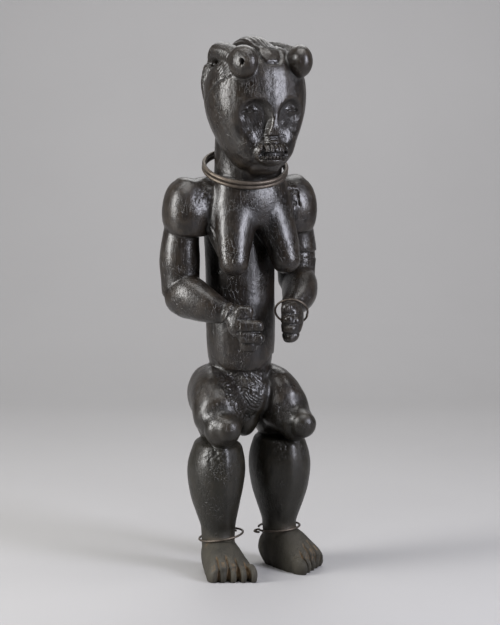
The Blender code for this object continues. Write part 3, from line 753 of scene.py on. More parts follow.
def face_details(points, normals):
    """How deep the finer cuts of the face go, in steps, inwards positive."""
    x, y, z = points[:, 0], points[:, 1], points[:, 2]
    front = ramp(-normals[:, 1], 0.1, 0.45) * ramp(-y, 34, 46)
    out = abs(x)
    depth = np.zeros(len(points))

    # The eyes: a low almond with a raised rim and a slit.
    eye = np.hypot((out - EYE_OUT) / 9.5, (z - EYE_LEVEL - 0.06 * (out - EYE_OUT)) / 4.6)
    depth -= 0.4 * within(eye, 0.85, 1.0, 0.28)
    depth += 0.6 * (1 - ramp(eye, 0.3, 0.8))
    depth -= 0.9 * (1 - ramp(np.hypot((out - EYE_OUT) / 4, (z - EYE_LEVEL) / 1.5), 0.6, 1.1))

    # Fine cuts left by the knife all over the hollow cheeks.
    cheek = within(z, MOUTH_LEVEL + 22, BROW_LEVEL + 14, 6) * within(out, 8, 36, 5)
    depth += cheek * 0.35 * (1 - stripes(out * 0.8 - z * 0.5 + 1.5 * cloud(points, 7, 4), 2.6))

    # The sides of the nose and its foot, with a fan of upright chip marks.
    low = NOSE_LEVELS[0]
    wing = within(z, low - 1, low + 7 - 0.5 * out, 2.5) * (1 - ramp(out, 18, 22))
    fan = stripes(x * (1 - (z - low) * 0.02) + 0.7, 2.9)
    depth += wing * (1.3 * (1 - fan) - 0.5)
    depth += 1.0 * within(z, low - 3.5, low - 2, 1.2) * (1 - ramp(out, 7, 10))

    # The upper lip stands in the middle, between two hollows.
    under = within(z, MOUTH_LEVEL + 13, low - 4, 2.0)
    depth += under * 1.4 * within(out, 13, 16, 5) - under * 0.7 * (1 - ramp(out, 5, 9))

    # The folds from the nose to the corners of the mouth.
    flat = np.stack([out, z], 1)
    fold = ((16, 538), (24, 529), (33, 517), (33, 507), (25, 500))
    away, _ = near_path(flat, fold, 8)
    depth -= 0.8 * (1 - ramp(away, 0.6, 6.5)) * (1 + 0.5 * cloud(points, 2.2, 3))

    # The open mouth, narrower above than below, and two rows of teeth in it.
    half = np.interp(z - MOUTH_LEVEL, (-7, -2, 3, 12), (17, 20, 18.5, 13))
    opening = within(z, MOUTH_LEVEL - 6.6, MOUTH_LEVEL + 12.2, 0.8) * (1 - ramp(out, half - 1, half + 0.6))
    upper = within(z, MOUTH_LEVEL + 2.4, MOUTH_LEVEL + 11.2, 0.6) * (1 - ramp(out, 13, 14))
    lower = within(z, MOUTH_LEVEL - 5.8, MOUTH_LEVEL - 2.0, 0.6) * (1 - ramp(out, 15.5, 16.5))
    teeth = np.clip(upper + lower, 0, 1)
    gaps = np.where(z > MOUTH_LEVEL, stripes(x + 0.4, 5.1), stripes(x - 1.1, 4.3))
    depth += opening * (1 - teeth) * 4.5
    depth += teeth * (0.2 + 2.6 * np.clip(1 - gaps * 3.6, 0, 1))
    rim = within(z, MOUTH_LEVEL - 11, MOUTH_LEVEL - 8, 1.4) * (1 - ramp(out, 16, 21))
    depth -= 0.9 * rim

    # Flats left by the knife on the chin and the jaw.
    chin = within(z, MOUTH_LEVEL - 22, MOUTH_LEVEL - 10, 3) * (1 - ramp(out, 24, 32))
    depth += chin * 0.5 * cloud(points, (7, 7, 4), 5)
    return depth * front


def crest_side(behind, above):
    """1 where the grooves along both sides of the middle crest run."""
    return ramp(behind, -40, -34) * (1 - ramp(behind, 44, 50)) * ramp(above - 0.3 * behind, 22, 30)


def hair_details(points):
    """Plaits and combed lines of the hair, and the line where it meets the brow."""
    x, y, z = points[:, 0], points[:, 1], points[:, 2]
    back, top = HEAD_BACK, HEAD_LEVEL
    out = abs(x)
    depth = np.zeros(len(points))
    # The middle crest is combed lengthwise.
    crest = (1 - ramp(out, 14, 17)) * ramp(y - back, -36, -30)
    crest *= ramp(z - 0.35 * (y - back), top + 8, top + 16)
    depth += crest * (0.95 * (1 - stripes(x + 0.5 * cloud(points, 9, 11), 3.8)) - 0.25)
    groove = abs(out - np.interp(y - back, (-36, -26, -5, 19, 41), (13, 15, 17, 18, 19)))
    depth += cut(groove, 3.0, 3.2) * crest_side(y - back, z - top)
    end = ((-15, 60), (-13.5, 47), (-8, 40), (8, 40), (13.5, 47), (15, 60))
    away, _ = near_path(np.stack([x, z - top], 1), end, 6)
    depth += cut(away, 2.6, 2.6) * (1 - ramp(y - back, -42, -32))
    # The side tresses are plaited: short slanting cuts.
    side = within(out, 22, 52, 3) * ramp(y - back, -34, -26)
    side *= ramp(z - 0.3 * (y - back), top + 22, top + 28)
    slant = y * 0.75 + (z - top) * 0.55 + out * 0.45
    depth += side * 1.2 * (1 - stripes(slant + 0.8 * cloud(points, 6, 12), 4.4))
    # The flaps at the nape hang in upright strands.
    flap = within(out, 26, 50, 2) * ramp(y - back, 27, 32) * within(z, top - 14, top + 40, 4)
    depth += flap * 0.8 * (1 - stripes(y + 0.8 * out + 0.6 * cloud(points, 8, 13), 3.6))
    # The lower edge of the crest at the back, and the hairline at each temple.
    for sign in (-1, 1):
        flat = np.stack([y - back, z], 1)
        line = ((-34, top + 25), (-20, top + 18), (-4, top + 8), (12, top - 4), (22, top - 14))
        away, _ = near_path(flat, line, 6)
        there = ramp(sign * x, 40, 46)
        depth += there * cut(away, 1.6, 1.8)
        above = there * ramp(z, np.interp(y - back, (-34, 22), (top + 25, top - 14)), top + 40)
        depth += above * 0.45 * (1 - stripes(y + 0.3 * z + cloud(points, 5, 14), 2.7))
    # The peg hole in the front of the right knob.
    hole = np.hypot((from_the_side_seen(points) + 8.2) / 2.6, (z - KNOB[2]) / 4.2)
    depth += 5.0 * (1 - ramp(hole, 0.6, 1.05)) * ramp(-y, 66, 72) * (x < 0)
    return depth


def hand_details(points):
    """The edge of the forearm over the right hand, the gaps between the fingers, and the knuckles."""
    seen, z = from_the_side_seen(points), points[:, 2]
    depth = np.zeros(len(points))
    for side in (-1, 1):
        level = WRISTS[side][2]
        spots = points - np.array(WRISTS[side])
        near = (np.linalg.norm(spots, axis=1) < 58) * ramp(-spots[:, 1], 4, 10)
        rows = [(level + start[2], half) for start, _, half in FINGERS[side]]
        inwards = spots @ finger_way(side)
        fingers = near * ramp(inwards, 12, 17)
        for (upper, a), (lower, b) in zip(rows, rows[1:]):
            gap = (upper - a + lower + b) / 2 + 0.5 * cloud(points, 7, 61)
            depth += fingers * cut(abs(z - gap), 1.8, 2.2 if side < 0 else 1.3)
        for reach in (24, 31):
            depth += fingers * cut(abs(inwards - reach + 0.12 * (z - level)), 1.0, 0.35)
    # The forearm ends in a pointed edge, and the back of the hand lies lower.
    hand = (abs(points[:, 0] + 28) < 34) * ramp(-points[:, 1], 22, 28) * within(z, 276, 344, 3)
    edge = -19 - 0.55 * np.maximum(330 - z, 0) - 1.1 * np.maximum(z - 330, 0)
    depth += hand * 1.7 * ramp(seen, edge - 0.5, edge + 0.5) * (1 - ramp(seen, edge + 3, edge + 15))
    depth -= hand * 0.8 * ramp(seen, -11, -9.5) * (1 - ramp(z, 309, 311)) * (1 - ramp(seen, 2, 10))
    for across, level, half in KNUCKLES:
        there = (points[:, 0] > 0) * ramp(-points[:, 1], 30, 36)
        depth -= there * 1.5 * (1 - ramp(np.hypot(seen - across, z - level) / half, 0.2, 1.0))
    return depth


def foot_details(points):
    """Cuts between the toes, and their nails."""
    depth = np.zeros(len(points))
    for side in (-1, 1):
        turn, length = FOOT_TURNS[side], FOOT_LENGTHS[side]
        x, y = ANKLES[side]
        dx, dy = side * (points[:, 0] - x), points[:, 1] - y
        across = dx * math.cos(turn) + dy * math.sin(turn)
        forward = dx * math.sin(turn) - dy * math.cos(turn)
        level = points[:, 2]
        here = (side * points[:, 0] > 0) & (level < 45) & (forward > 10)
        front = length - across * math.tan(TOE_SLANT)
        spread = 1 - 0.006 * (front - forward)
        toe = FOOT_HALF_WIDTH * 0.41
        toes = here * ramp(forward - front, -15, -8) * (abs(across) < 2.1 * toe)
        gap = 1 - stripes(across / np.maximum(spread, 0.5), toe)
        depth += toes * 3.4 * np.clip((gap - 0.55) / 0.45, 0, 1) ** 1.2
        nail = here * within(forward - front, -4.5, 0.5, 1.0) * ramp(level, 9, 13)
        depth += nail * 0.7 * (gap < 0.35)
    return depth


def body_details(points, normals):
    """Creases, the armlet, the shin ridges, the chip marks of the lap, the repair and the cracks."""
    x, y, z = points[:, 0], points[:, 1], points[:, 2]
    seen = from_the_side_seen(points)
    flat = np.stack([seen, z], 1)
    front = ramp(-normals[:, 1], 0.0, 0.3)
    depth = np.zeros(len(points))

    # The lap is left rough from the tool, in a pointed patch.
    middle = np.interp(z, (190, 243), (0, -10))
    half = np.interp(z, (184, 198, 215, 243), (5, 13, 22, 32)) + 3 * cloud(points, 8, 20)
    aside = abs(seen - middle)
    lap = front * within(z, 186, 240, 4) * (1 - ramp(aside, half - 3, half + 1)) * (1 - ramp(-y, 36, 46))
    chips = 1 - stripes(z * 0.7 + aside * 0.6 + 3.0 * cloud(points, 6, 21), 4.2)
    depth += lap * (1.1 * chips + 0.6 * cloud(points, (2.2, 2.2, 5), 22) + 0.4)

    # The belly ends in an edge above the lap and the thighs.
    away, _ = near_path(flat, BELLY_EDGE, 12)
    low = np.interp(seen, *zip(*BELLY_EDGE)) - z
    edge = 1.8 * ramp(low, -0.8, 0.8) * (1 - ramp(away, 1.5, 11)) + cut(away, 1.6, 0.8)
    depth += front * edge * (1 - ramp(-y, 38, 46))

    # An engraved band round the left upper arm.
    arm = ramp(x, 58, 62) * (1 - ramp(z, 400, 402)) * ramp(z, 340, 344)
    depth += arm * (cut(abs(z - 381), 1.8, 2.6) + 1.3 * within(z, 373, 379.5, 0.8))
    depth += arm * within(z, 360, 373, 1) * 0.6 * (1 - stripes(y * 0.9 + x * 0.4, 2.8))

    # The shin ridges.
    for side in (-1, 1):
        ax, ay = ANKLES[side]
        dx, dy = side * (x - ax), y - ay
        across = dx * math.cos(KNEES_OUT) + dy * math.sin(KNEES_OUT)
        forward = dx * math.sin(KNEES_OUT) - dy * math.cos(KNEES_OUT)
        shin = within(z, 66, 150, 14) * ramp(forward, 14, 22) * (side * x > 0)
        line = across - (-4 if side < 0 else -12) - 0.04 * (z - 100)
        depth -= shin * 1.7 * (1 - ramp(abs(line), 0, 12))

    # Parallel lines along the outer side of each breast.
    for side in (-1, 1):
        path = ((side * 50, 0, 420), (side * 50, -12, 396), (side * 47, -24, 376), (side * 38, -34, 364))
        away, _ = near_path(points, path, 12)
        depth += 0.9 * (1 - ramp(away, 7, 9)) * (1 - stripes(away, 4.5))

    # The repair on the front of the left shoulder: an inset piece with two pins, and cracks by it.
    shoulder = ramp(x, 34, 38) * ramp(-normals[:, 1], 0.0, 0.3)
    for corners, half, deep in REPAIR_LINES:
        away, _ = near_path(flat, corners, 5)
        depth += shoulder * cut(away, half, deep)
    for spot in REPAIR_PINS:
        away = np.hypot(seen - spot[0], z - spot[1])
        depth += shoulder * (1.0 * within(away, 1.7, 2.5, 0.5) - 0.3 * (1 - ramp(away, 1, 1.6)))

    # Rough places: the top of the right shin, the inner side of the left knee and shin, the chest.
    for centre, halves, strength, seed in ROUGH_PLACES:
        away = np.linalg.norm((points - np.array(centre, float)) / np.array(halves, float), axis=1)
        there = (1 - ramp(away, 0.6, 1.0)) * front
        pits = np.clip(cloud(points, 2.6, seed) - 0.1, 0, 1)
        pits += 0.5 * np.clip(cloud(points, 1.6, seed + 1), 0, 1)
        depth += there * strength * pits
    return depth


def tool_marks(points):
    """The slight unevenness that the adze and the knife leave on every surface, in steps."""
    strokes = 0.22 * cloud(points, (11, 11, 26), 41) + 0.10 * cloud(points, (5, 5, 12), 42)
    return strokes + 0.09 * cloud(points, (2.4, 2.4, 4.5), 43)


def carve_details(figure):
    mesh = figure.data
    points = carve_face(places(mesh))
    place_all(mesh, points)
    normals = facing(mesh)
    depth = face_details(points, normals) + body_details(points, normals)
    depth += hair_details(points) + hand_details(points) + foot_details(points)
    calm = 1 - 0.5 * within(points[:, 2], MOUTH_LEVEL - 12, EYE_LEVEL + 8, 4) * ramp(-points[:, 1], 40, 50)
    depth += tool_marks(points) * calm
    points -= normals * depth[:, None]
    place_all(mesh, points)


def mark_surface(figure):
    """Stores on the surface where it is hollow, proud, dry and handled, for the material to read."""
    mesh = figure.data
    points, normals, edges = places(mesh), facing(mesh), edges_of(mesh)
    near = points
    for _ in range(6):
        near = neighbour_mean(near, edges)
    wide = near
    for _ in range(22):
        wide = neighbour_mean(wide, edges)
    fine = ((near - points) * normals).sum(1)
    broad = ((wide - points) * normals).sum(1)
    hollow = np.clip(fine / 0.45, 0, 1) * 0.6 + np.clip(broad / 1.6, 0, 1) * 0.6
    proud = np.clip(-fine / 0.5, 0, 1) * 0.7 + np.clip(-broad / 2.2 - 0.15, 0, 1) * 0.5
    z = points[:, 2]
    dry = 1 - ramp(z + 5 * cloud(points, 14, 51), 34, 60)
    legs = 1 - ramp(z + 12 * cloud(points, 24, 52), 120, 250)
    for name, values in (("hollow", hollow), ("proud", proud), ("dry", dry), ("legs", legs)):
        layer = mesh.attributes.new(name, "FLOAT", "POINT")
        layer.data.foreach_set("value", np.clip(values, 0, 1).astype(np.float32))


def cut_soles(figure):
    """Cuts the figure flat at the floor and closes the soles."""
    bm = bmesh.new()
    bm.from_mesh(figure.data)
    everything = bm.verts[:] + bm.edges[:] + bm.faces[:]
    bmesh.ops.bisect_plane(bm, geom=everything, plane_no=(0, 0, -1), clear_outer=True)
    bmesh.ops.holes_fill(bm, edges=[e for e in bm.edges if e.is_boundary])
    bmesh.ops.triangulate(bm, faces=[f for f in bm.faces if len(f.verts) > 4])
    bm.to_mesh(figure.data)
    bm.free()


def carve_figure(grain, triangles):
    """The whole figure, cut from its volumes at the given grain and brought to so many triangles."""
    VOLUMES.clear()
    for side in (-1, 1):
        make_leg(side)
        make_foot(side)
        make_breast(side)
        make_arm(side)
    make_trunk()
    make_head()
    figure = bpy.data.objects.new("figure_wood", joined_volumes())
    bpy.context.scene.collection.objects.link(figure)
    block = figure.modifiers.new("One block", "REMESH")
    block.mode = "VOXEL"
    block.voxel_size = grain
    settle(figure)
    finer = (CAD_GRAIN / grain) ** 2
    soften(figure, round(RUN_TOGETHER_ROUNDS * finer))
    scraped = figure.modifiers.new("Scraped", "SMOOTH")
    scraped.iterations = round(SCRAPED_ROUNDS * finer)
    settle(figure)
    figure.vertex_groups.clear()
    carve_details(figure)
    facets = figure.modifiers.new("Facets", "DECIMATE")
    facets.ratio = min(1.0, triangles / sum(len(p.vertices) - 2 for p in figure.data.polygons))
    settle(figure)
    cut_soles(figure)
    # What stands proud of the CAD figure's box is pulled back onto it.
    low, high = (np.array(corner) / STEP - np.array(PLACED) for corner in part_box("carved_figure"))
    place_all(figure.data, np.clip(places(figure.data), low, high))
    mark_surface(figure)
    figure.data.shade_smooth()
    figure.data.set_sharp_from_angle(angle=SHARP_ANGLE)
    return figure


def wire(name, node, points, thickness):
    """A bent wire as a mesh, laid where the CAD wire lies."""
    curve = bpy.data.curves.new(name, "CURVE")
    curve.dimensions = "3D"
    line = curve.splines.new("POLY")
    line.points.add(len(points) - 1)
    points = np.array([tuple(p * STEP) for p in points])
    low, high = np.array(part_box(node))
    points += (low + high) / 2 - (points.min(0) + points.max(0)) / 2
    for spot, point in zip(line.points, points):
        spot.co = (*point, 1)
    line.use_smooth = True
    curve.bevel_depth = thickness / 2 * STEP
    curve.bevel_resolution = 5
    curve.use_fill_caps = True
    bent = bpy.data.objects.new("bent_wire", curve)
    bpy.context.scene.collection.objects.link(bent)
    graph = bpy.context.evaluated_depsgraph_get()
    ring = bpy.data.objects.new(name, bpy.data.meshes.new_from_object(bent.evaluated_get(graph)))
    bpy.context.scene.collection.objects.link(ring)
    bpy.data.objects.remove(bent)
    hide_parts(node)
    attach(ring, "root")
    return ring


def bend_rings():
    tilt = Matrix.Rotation(math.radians(NECK_RING_TILT[1]), 3, "Y")
    tilt = tilt @ Matrix.Rotation(math.radians(NECK_RING_TILT[0]), 3, "X")
    frame = ring_frame(tilt @ Vector((0, 0, 1)), (1, 0, 0))
    along = NECK_HALF_DEPTH / math.cos(math.radians(NECK_RING_TILT[0]))
    halves = [half + NECK_RING_SLACK + NECK_WIRE / 2 for half in (NECK_HALF_WIDTH, along)]
    points = ring_points(halves, NECK_WIRE, NECK_RING_TURNS, frame, 160, NECK_RING_START)
    rings = [wire("neck_coil", "neck_ring", points, NECK_WIRE)]

    wrist, tip = Vector(WRISTS[1]), Vector(FINGERTIPS[1])
    frame = ring_frame(wrist - tip, (1, 0, 0.2))
    half = WRIST_HALF + WRIST_RING_SLACK + THIN_WIRE / 2
    points = ring_points((half, half), THIN_WIRE, 1.03, frame, 120)
    rings.append(wire("wrist_wire", "left_wrist_ring", points, THIN_WIRE))

    half = ANKLE_HALF + ANKLE_RING_SLACK + THIN_WIRE / 2
    frame = ring_frame((-0.13, 0.04, 1), (1, 0.4, 0))
    points = ring_points((half + 0.8, half + 0.8), THIN_WIRE, 1.06, frame, 120)
    rings.append(wire("right_ankle_wire", "right_ankle_ring", points, THIN_WIRE))

    frame = ring_frame((-0.06, 0.04, 1), (-0.94, 0.34, 0))
    points = ring_points((half - 0.8, half - 0.8), THIN_WIRE, 0.98, frame, 120)[::-1]
    points += eyelet_points(EYELET_HALF, points[-1], points[-2], -frame[0])
    rings.append(wire("left_ankle_wire", "left_ankle_ring", points, THIN_WIRE))
    return rings


def fill(node, **values):
    """Sets a node's sockets. An underscore in a name stands for a space."""
    for key, value in values.items():
        node.inputs[key.replace("_", " ")].default_value = value
    return node


def surface_mark(tree, name):
    node = tree.nodes.new("ShaderNodeAttribute")
    node.attribute_name = name
    node.label = name
    return node.outputs["Fac"]


def blend_colours(tree, share, first, second):
    """A colour between two others. Each is a socket or three numbers."""
    node = tree.nodes.new("ShaderNodeMix")
    node.data_type = "RGBA"
    plug(tree, share, node.inputs["Factor"])
    for value, socket in ((first, node.inputs[6]), (second, node.inputs[7])):
        if isinstance(value, tuple):
            socket.default_value = (*value, 1)
        else:
            tree.links.new(value, socket)
    return node.outputs[2]


def plug(tree, value, socket):
    """Joins a socket to another, or sets it to a number."""
    if isinstance(value, (int, float)):
        socket.default_value = value
    else:
        tree.links.new(value, socket)


def reckon(tree, operation, first, second=0.0, third=0.0, held=False):
    node = tree.nodes.new("ShaderNodeMath")
    node.operation = operation
    node.use_clamp = held
    for k, value in enumerate((first, second, third)):
        if k < len(node.inputs):
            plug(tree, value, node.inputs[k])
    return node.outputs[0]


def spread(tree, value, low, high, to_low, to_high):
    """value from low to high becomes to_low to to_high, and no more than that."""
    node = tree.nodes.new("ShaderNodeMapRange")
    plug(tree, value, node.inputs["Value"])
    fill(node, From_Min=low, From_Max=high, To_Min=to_low, To_Max=to_high)
    return node.outputs["Result"]


def stretched(tree, vector, scale):
    node = tree.nodes.new("ShaderNodeMapping")
    node.inputs["Scale"].default_value = scale
    tree.links.new(vector, node.inputs["Vector"])
    return node.outputs["Vector"]


def speckle(tree, vector, scale, detail=3.0, roughness=0.55):
    node = tree.nodes.new("ShaderNodeTexNoise")
    fill(node, Scale=scale, Detail=detail, Roughness=roughness)
    tree.links.new(vector, node.inputs["Vector"])
    return node.outputs["Fac"]


def new_group(name, takes, gives):
    """An empty shader node group with its sockets, and its two ends."""
    group = bpy.data.node_groups.new(name, "ShaderNodeTree")
    for socket, kind, value in takes:
        made = group.interface.new_socket(socket, in_out="INPUT", socket_type=kind)
        if value is not None:
            made.default_value = value
    for socket, kind in gives:
        group.interface.new_socket(socket, in_out="OUTPUT", socket_type=kind)
    return group, group.nodes.new("NodeGroupInput"), group.nodes.new("NodeGroupOutput")


def settled_grime():
    """Where dust and old grease lie: in the hollows, and unevenly."""
    takes = (
        ("Vector", "NodeSocketVector", None),
        ("Hollow", "NodeSocketFloat", 0.0),
        ("Scale", "NodeSocketFloat", 60.0),
        ("Amount", "NodeSocketFloat", 0.5),
    )
    group, inside, outside = new_group("settled_grime", takes, (("Mask", "NodeSocketFloat"),))
    noise = group.nodes.new("ShaderNodeTexNoise")
    fill(noise, Detail=5.0, Roughness=0.65)
    group.links.new(inside.outputs["Vector"], noise.inputs["Vector"])
    group.links.new(inside.outputs["Scale"], noise.inputs["Scale"])
    patchy = spread(group, noise.outputs["Fac"], 0.35, 0.65, 0.0, 1.0)
    patchy = reckon(group, "MULTIPLY", patchy, 0.25)
    lying = reckon(group, "MULTIPLY_ADD", inside.outputs["Hollow"], 1.2, patchy)
    lying = reckon(group, "MULTIPLY", lying, inside.outputs["Amount"], held=True)
    group.links.new(lying, outside.inputs["Mask"])
    return group


def fine_scratches():
    """Thin scratches and rubbed streaks: a height for the bump and a mask for the gloss."""
    takes = (
        ("Vector", "NodeSocketVector", None),
        ("Scale", "NodeSocketFloat", 300.0),
        ("Depth", "NodeSocketFloat", 1.0),
    )
    gives = (("Height", "NodeSocketFloat"), ("Mask", "NodeSocketFloat"))
    group, inside, outside = new_group("fine_scratches", takes, gives)
    total = None
    for turn, share in ((0.35, 1.0), (-0.9, 0.7)):
        mapping = group.nodes.new("ShaderNodeMapping")
        mapping.inputs["Rotation"].default_value = (0.3, turn, turn * 2)
        mapping.inputs["Scale"].default_value = (1, 1, 0.06)
        group.links.new(inside.outputs["Vector"], mapping.inputs["Vector"])
        noise = group.nodes.new("ShaderNodeTexNoise")
        fill(noise, Detail=2.0)
        group.links.new(mapping.outputs["Vector"], noise.inputs["Vector"])
        group.links.new(inside.outputs["Scale"], noise.inputs["Scale"])
        line = spread(group, noise.outputs["Fac"], 0.62, 0.72, 0.0, share)
        total = line if total is None else reckon(group, "ADD", total, line, held=True)
    group.links.new(reckon(group, "MULTIPLY", total, inside.outputs["Depth"]), outside.inputs["Height"])
    group.links.new(total, outside.inputs["Mask"])
    return group


def use_group(tree, group, vector, **values):
    node = tree.nodes.new("ShaderNodeGroup")
    node.node_tree = group
    tree.links.new(vector, node.inputs["Vector"])
    for key, value in values.items():
        plug(tree, value, node.inputs[key])
    return node


def new_material(name):
    made = bpy.data.materials.new(name)
    made.use_nodes = True
    tree = made.node_tree
    tree.nodes.clear()
    shader = tree.nodes.new("ShaderNodeBsdfPrincipled")
    output = tree.nodes.new("ShaderNodeOutputMaterial")
    tree.links.new(shader.outputs["BSDF"], output.inputs["Surface"])
    place = tree.nodes.new("ShaderNodeTexCoord").outputs["Object"]
    return made, tree, shader, place


def bump(tree, height, distance, strength, below=None):
    node = tree.nodes.new("ShaderNodeBump")
    fill(node, Distance=distance, Strength=strength)
    tree.links.new(height, node.inputs["Height"])
    if below is not None:
        tree.links.new(below, node.inputs["Normal"])
    return node.outputs["Normal"]


def oiled_black_wood(wood, grime, scratches):
    """Dense wood, black-brown with oil and handling, drier down the legs and bare on the feet."""
    made, tree, shader, place = new_material("oiled_black_wood")
    hollow, proud = surface_mark(tree, "hollow"), surface_mark(tree, "proud")
    dry, legs = surface_mark(tree, "dry"), surface_mark(tree, "legs")
    upright = stretched(tree, place, (1, 1, 0.15))

    # Colour: deep and lighter streaks of brown, paler on rubbed edges, greyer on the dry feet.
    streaks = speckle(tree, upright, 55.0, 5.0, 0.6)
    share = spread(tree, streaks, 0.35, 0.7, 0, 1)
    colour = blend_colours(tree, share, tuple(wood.deep), tuple(wood.brown))
    grain = speckle(tree, stretched(tree, place, (1, 1, 0.05)), 420.0, 3.0)
    colour = blend_colours(tree, spread(tree, grain, 0.45, 0.75, 0, 0.35), colour, tuple(wood.worn))
    rubbed = reckon(tree, "MULTIPLY", proud, spread(tree, speckle(tree, place, 90.0), 0.4, 0.65, 0.1, 0.75))
    colour = blend_colours(tree, rubbed, colour, tuple(wood.worn))
    colour = blend_colours(tree, reckon(tree, "MULTIPLY", legs, 0.55), colour, tuple(wood.legs))
    lying = use_group(tree, grime, place, Hollow=hollow, Scale=120.0, Amount=0.55).outputs["Mask"]
    colour = blend_colours(tree, reckon(tree, "MULTIPLY", lying, 0.5), colour, tuple(wood.grime))
    bare = blend_colours(tree, spread(tree, streaks, 0.3, 0.7, 0, 1), tuple(wood.dry_dark), tuple(wood.dry))
    bare = blend_colours(tree, reckon(tree, "MULTIPLY", hollow, 0.8), bare, tuple(wood.ochre))
    colour = blend_colours(tree, dry, colour, bare)
    tree.links.new(colour, shader.inputs["Base Color"])

    # Gloss: oily where hands reach, duller in hollows, on the legs and on the feet.
    marks = use_group(tree, scratches, place, Scale=420.0, Depth=1.0)
    gloss = spread(tree, speckle(tree, place, 38.0, 4.0), 0.35, 0.65, wood.gloss - 0.05, wood.gloss + 0.08)
    gloss = reckon(tree, "MULTIPLY_ADD", lying, 0.25, gloss)
    gloss = reckon(tree, "MULTIPLY_ADD", legs, 0.10, gloss)
    gloss = reckon(tree, "MULTIPLY_ADD", dry, 0.28, gloss)
    gloss = reckon(tree, "MULTIPLY_ADD", marks.outputs["Mask"], 0.10, gloss, held=True)
    tree.links.new(gloss, shader.inputs["Roughness"])
    oil = spread(tree, reckon(tree, "ADD", dry, reckon(tree, "MULTIPLY", legs, 0.45)), 0, 1, 0.2, 0.0)
    tree.links.new(oil, shader.inputs["Coat Weight"])
    fill(shader, Coat_Roughness=0.22, Specular_IOR_Level=0.36)

    # Relief finer than the mesh: open pores, crackled oil and scratches.
    pores = speckle(tree, stretched(tree, place, (1, 1, 0.12)), 900.0, 2.0)
    pores = spread(tree, pores, 0.28, 0.40, 1.0, 0.0)
    normal = bump(tree, reckon(tree, "MULTIPLY", pores, -1.0), 0.00025, 0.5)
    crackle = tree.nodes.new("ShaderNodeTexVoronoi")
    crackle.feature = "DISTANCE_TO_EDGE"
    fill(crackle, Scale=260.0, Randomness=1.0)
    tree.links.new(stretched(tree, place, (1, 1, 0.5)), crackle.inputs["Vector"])
    cracked = spread(tree, crackle.outputs["Distance"], 0.0, 0.06, 1.0, 0.0)
    where = spread(tree, speckle(tree, place, 30.0, 3.0), 0.50, 0.62, 0.0, 1.0)
    cracked = reckon(tree, "MULTIPLY", cracked, where)
    normal = bump(tree, reckon(tree, "MULTIPLY", cracked, -1.0), 0.0006, 0.8, normal)
    lumps = speckle(tree, place, 240.0, 4.0, 0.6)
    normal = bump(tree, lumps, 0.0009, 0.5, normal)
    normal = bump(tree, reckon(tree, "MULTIPLY", marks.outputs["Height"], -1.0), 0.0002, 0.4, normal)
    tree.links.new(normal, shader.inputs["Normal"])
    return made


def browned_copper_alloy(metal, grime, scratches):
    """Old wire, browned by handling, brighter where it rubs."""
    made, tree, shader, place = new_material("browned_copper_alloy")
    cloudy = speckle(tree, place, 140.0, 5.0, 0.6)
    share = spread(tree, cloudy, 0.35, 0.7, 0, 1)
    colour = blend_colours(tree, share, tuple(metal.brown), tuple(metal.bright))
    lying = use_group(tree, grime, place, Hollow=0.3, Scale=300.0, Amount=0.9).outputs["Mask"]
    colour = blend_colours(tree, lying, colour, tuple(metal.dark))
    tree.links.new(colour, shader.inputs["Base Color"])
    fill(shader, Metallic=0.85)
    marks = use_group(tree, scratches, place, Scale=900.0, Depth=1.0)
    gloss = spread(tree, cloudy, 0.3, 0.7, 0.30, 0.48)
    gloss = reckon(tree, "MULTIPLY_ADD", lying, 0.25, gloss)
    gloss = reckon(tree, "MULTIPLY_ADD", marks.outputs["Mask"], 0.12, gloss, held=True)
    tree.links.new(gloss, shader.inputs["Roughness"])
    normal = bump(tree, speckle(tree, place, 500.0, 4.0), 0.0003, 0.4)
    normal = bump(tree, reckon(tree, "MULTIPLY", marks.outputs["Height"], -1.0), 0.00015, 0.5, normal)
    tree.links.new(normal, shader.inputs["Normal"])
    return made


def pale_floor(stage):
    made, tree, shader, place = new_material("pale_floor")
    mottled = speckle(tree, place, 3.0, 3.0)
    share = spread(tree, mottled, 0.3, 0.7, 0, 1)
    colour = blend_colours(tree, share, tuple(stage.floor), tuple(c * 0.97 for c in stage.floor))
    tree.links.new(colour, shader.inputs["Base Color"])
    fill(shader, Roughness=0.6)

    # Seen from behind, the wall is clear, so that it never stands before the figure.
    clear = tree.nodes.new("ShaderNodeBsdfTransparent")
    behind = tree.nodes.new("ShaderNodeNewGeometry").outputs["Backfacing"]
    mixed = tree.nodes.new("ShaderNodeMixShader")
    output = next(node for node in tree.nodes if node.type == "OUTPUT_MATERIAL")
    tree.links.new(behind, mixed.inputs[0])
    tree.links.new(shader.outputs["BSDF"], mixed.inputs[1])
    tree.links.new(clear.outputs["BSDF"], mixed.inputs[2])
    tree.links.new(mixed.outputs[0], output.inputs["Surface"])
    return made


def colour_setting(name, description, value):
    return bpy.props.FloatVectorProperty(
        name=name, description=description, subtype="COLOR", size=3, min=0.0, max=1.0, default=value
    )


def power_setting(name, description, value):
    return bpy.props.FloatProperty(
        name=name, description=description, default=value, min=0.0, subtype="POWER", unit="POWER"
    )


def length_setting(name, description, value, low, high=100.0):
    return bpy.props.FloatProperty(
        name=name,
        description=description,
        default=value,
        min=low,
        max=high,
        subtype="DISTANCE",
        unit="LENGTH",
    )


def angle_setting(name, description, value):
    return bpy.props.FloatProperty(
        name=name, description=description, default=value, subtype="ANGLE", unit="ROTATION"
    )


class FigureSettings(bpy.types.PropertyGroup):
    grain: length_setting("Carving grain", "Cubes that the volumes are cut to", 0.0008, 0.0004, 0.004)
    triangles: bpy.props.IntProperty(
        name="Triangles",
        description="How many triangles the carved figure is brought down to",
        default=190000,
        min=5000,
        max=199000,
    )


